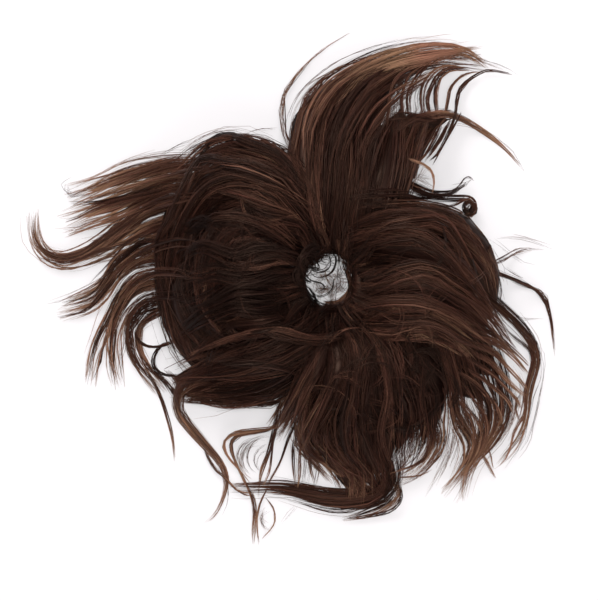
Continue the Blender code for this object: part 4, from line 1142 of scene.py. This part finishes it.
def ring_tree(name, profile, relief):
    """A closed profile swept round the loop, with a relief: given the turn round the loop and the turn
    round the profile, both from 0 to 1, it gives a height from 0 to 1."""
    graph, given = new_graph(name, Loop_Radius="Float", Width="Float", Height="Float", Relief="Float")
    loop = graph.store(graph.circle(RING_STEPS, given["Loop Radius"]), "along", graph.factor())
    inputs = {"Curve": loop, "Profile Curve": graph.rounded(profile(graph, given))}
    ring = graph.add("GeometryNodeCurveToMesh", inputs)
    along, turned = graph.stored("along"), graph.stored("round")
    ring = graph.store(ring, "OFBake", graph.vector(along * RING_MAP, turned), "FLOAT2", "CORNER")
    outwards = graph.add("GeometryNodeInputNormal")
    sunk = (relief(along, turned) - 1.0) * given["Relief"]
    return graph.finish(graph.placed(ring, Offset=outwards * sunk), given["Material"])


def cord_profile(graph, given):
    return graph.circle(RING_SIDES, given["Width"] * 0.5)


def band_profile(graph, given):
    inputs = {"Width": given["Width"], "Height": given["Height"]}
    edge = graph.add("GeometryNodeCurvePrimitiveQuadrilateral", inputs)
    inputs = {"Curve": edge, "Radius": given["Width"] * BAND_ROUNDING, "Count": BAND_CORNER}
    edge = graph.add("GeometryNodeFilletCurve", inputs, mode="POLY")
    return graph.add("GeometryNodeResampleCurve", {"Curve": edge, "Count": RING_SIDES})


def braid(along, turned):
    """Threads that cross at a slant, both ways round the cord."""
    one, other = [((along * BRAID_TURNS + turned * (way * BRAID_THREADS)) * math.pi).sine().size()
                  for way in (1.0, -1.0)]
    return (one * other) ** 0.5


def stitches(along, turned):
    """Hair wound close round the band, drawn in by rows of stitches."""
    wound = ((along * (WOUND_TURNS * math.tau)).sine() + 1.0) * WOUND_SHARE
    return wound + ((turned * (STITCH_ROWS * math.tau)).sine() + 1.0) * STITCH_SHARE


def ring_piece(node, slot, tree, material, relief):
    """A ring in the box of its CAD solid."""
    low, high = (np.array(corner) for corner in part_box(node))
    height = high[2] - low[2]
    width = height if slot == "elastic" else BAND_WALL
    radius = 0.5 * (high[0] - low[0] - width)
    inputs = {"Loop Radius": float(radius), "Width": float(width), "Height": float(height),
              "Relief": relief, "Material": material}
    obj = grown(node + "_wound", bpy.data.meshes.new(node), tree, inputs)
    obj.data.transform(Matrix.Translation(0.5 * (low + high)))
    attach(obj, "root")
    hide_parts(node)


def plain_material(name, colour, roughness, **more):
    """A material with a Principled shader, its graph, and the input of its base colour."""
    material = bpy.data.materials.new(name)
    material.use_nodes = True
    shader = material.node_tree.nodes["Principled BSDF"].inputs
    for socket, value in {"Base_Color": (*colour, 1.0), "Roughness": roughness, **more}.items():
        shader[socket.replace("_", " ")].default_value = value
    return material, Graph(material.node_tree), shader["Base Color"]


# Spun thread: the darkest and the lightest colour, and how many threads there are along the map
ELASTIC_THREAD = ((0.006, 0.005, 0.005), (0.030, 0.026, 0.025), 160.0)
WEFT_THREAD = ((0.010, 0.005, 0.004), (0.040, 0.020, 0.014), 120.0)
THREAD_ROUGHNESS = 0.8
THREAD_SHINE = 0.2
THREADS_ROUND = 12.0
THREAD_DETAIL = 3.0
THREAD_MIX = (0.3, 0.7)

# Hair: the shades from dark to light, and what changes them along a lock and from fibre to fibre
SHADES = ((0.05, (0.0062, 0.0024, 0.0020)), (0.35, (0.020, 0.0074, 0.0054)),
          (0.65, (0.067, 0.0264, 0.0180)), (1.0, (0.250, 0.132, 0.082)))
HAIR_ROUGHNESS = 0.4
HAIR_SHINE = 0.17
HAIR_SHINE_TINT = (1.0, 0.66, 0.50, 1.0)
TIPS_LIGHTER = (0.3, 1.0, 0.0, 0.5)
# Painted shade: the hair darkens towards its roots, where the mass round the loop shades it
ROOTS_PAINTED_SHADE = (0.0, 0.25, -0.08, 0.01)
STREAKS = (2.5, 320.0)
STREAK_STRENGTH = 0.75
HUE_STREAKS = (2.0, 45.0)
HUE_MIX = (0.35, 0.65)
REDDER = (1.04, 0.92, 0.98, 1.0)
DULLER = (0.96, 1.08, 0.98, 1.0)


def thread_material(name, dark, light, threads):
    """Spun thread: a fine streaky mix of two colours along the map."""
    material, graph, base = plain_material(name, dark, THREAD_ROUGHNESS, Specular_IOR_Level=THREAD_SHINE)
    along, turned, _ = graph.add("ShaderNodeUVMap", uv_map="OFBake").parts()
    noise = graph.noise(graph.vector(along * threads, turned * THREADS_ROUND), THREAD_DETAIL)
    colour = graph.mixed(noise.mapped(*THREAD_MIX), (*dark, 1.0), (*light, 1.0))
    graph.tree.links.new(colour.socket, base)
    return material


def hair_material():
    """Dark brown fibres, redder and lighter in the lighter locks and towards the tips, and darkened towards
    the roots by painted shade.
    """
    material, graph, base = plain_material("hair_fibre", SHADES[0][1], HAIR_ROUGHNESS,
                                           Specular_IOR_Level=HAIR_SHINE, Specular_Tint=HAIR_SHINE_TINT)
    along, shade, _ = graph.add("ShaderNodeUVMap", uv_map="OFBake").parts()
    streaks, hues = (graph.noise(graph.vector(along * length, shade * across), 1.0)
                     for length, across in (STREAKS, HUE_STREAKS))
    level = shade + along.mapped(*TIPS_LIGHTER, interpolation_type="SMOOTHSTEP")
    # Painted shade darkens the fibres near their roots
    level = level + along.mapped(*ROOTS_PAINTED_SHADE) + (streaks - 0.5) * STREAK_STRENGTH
    ramp = graph.node("ShaderNodeValToRGB", {0: level})
    elements = ramp.color_ramp.elements
    while len(elements) < len(SHADES):
        elements.new(0.5)
    for element, (place, colour) in zip(elements, SHADES):
        element.position = place
        element.color = (*colour, 1.0)
    hue = graph.mixed(hues.mapped(*HUE_MIX), REDDER, DULLER)
    colour = graph.mixed(1.0, Field(graph, ramp.outputs[0]), hue, blend_type="MULTIPLY")
    graph.tree.links.new(colour.socket, base)
    return material


# The picture, its floor and its lights
PIXEL = 0.5 * MM
PICTURE = 600
LOOP_PIXEL = (333, 281)
CAMERA_HEIGHT = 3.0
SENSOR = 36.0
WHITE = (1.0, 1.0, 1.0, 1.0)
FLOOR_SIZE = 6.0
FLOOR_COLOUR = (0.38, 0.36, 0.37)
FLOOR_ROUGHNESS = 0.8
FLOOR_GLOW = 0.36
WORLD_STRENGTH = 0.6
LAMPS = (("key_box", 0.9, 26.0, (-0.3, 1.3, 1.3)), ("fill_box", 1.0, 10.0, (0.4, -1.2, 1.3)),
         ("top_box", 0.5, 22.0, (0.1, 0.1, 1.9)))


def floor():
    bpy.ops.mesh.primitive_plane_add(size=FLOOR_SIZE)
    obj = bpy.context.object
    obj.name = "table_top"
    material, _, _ = plain_material("table_top", FLOOR_COLOUR, FLOOR_ROUGHNESS,
                                    Emission_Color=WHITE, Emission_Strength=FLOOR_GLOW)
    obj.data.materials.append(material)


def camera():
    """Straight above, with the loop's centre at the pixel where the picture has it."""
    view = bpy.data.cameras.new("camera")
    view.sensor_width = SENSOR
    view.lens = SENSOR * CAMERA_HEIGHT / (PICTURE * PIXEL)
    obj = bpy.data.objects.new("camera", view)
    across = LOOP_CENTRE[0] + (PICTURE / 2 - LOOP_PIXEL[0]) * PIXEL
    up = LOOP_CENTRE[1] + (LOOP_PIXEL[1] - PICTURE / 2) * PIXEL
    obj.location = (across, up, CAMERA_HEIGHT)
    bpy.context.scene.collection.objects.link(obj)
    bpy.context.scene.camera = obj


def light_scene():
    world = bpy.data.worlds.new("studio")
    world.use_nodes = True
    world.node_tree.nodes["Background"].inputs["Color"].default_value = WHITE
    world.node_tree.nodes["Background"].inputs["Strength"].default_value = WORLD_STRENGTH
    bpy.context.scene.world = world
    for name, size, power, place in LAMPS:
        light = bpy.data.lights.new(name, "AREA")
        light.size = size
        light.energy = power
        obj = bpy.data.objects.new(name, light)
        obj.location = place
        obj.rotation_euler = (-Vector(place)).to_track_quat("-Z", "Y").to_euler()
        bpy.context.scene.collection.objects.link(obj)
    bpy.context.scene.view_settings.view_transform = "Standard"


def build():
    floor()
    camera()
    light_scene()
    surface = surface_under()
    tree = hair_tree()
    material = hair_material()
    for index, (node, locks) in enumerate(HAIR.items()):
        hair_piece(node, locks, tree, material, surface, 10 * index + 3)
    ring_piece("elastic_loop", "elastic", ring_tree("braided_cord", cord_profile, braid),
               thread_material("elastic_thread", *ELASTIC_THREAD), BRAID_DEPTH)
    ring_piece("weft_band", "weft", ring_tree("sewn_band", band_profile, stitches),
               thread_material("weft_thread", *WEFT_THREAD), STITCH_DEPTH)


build()
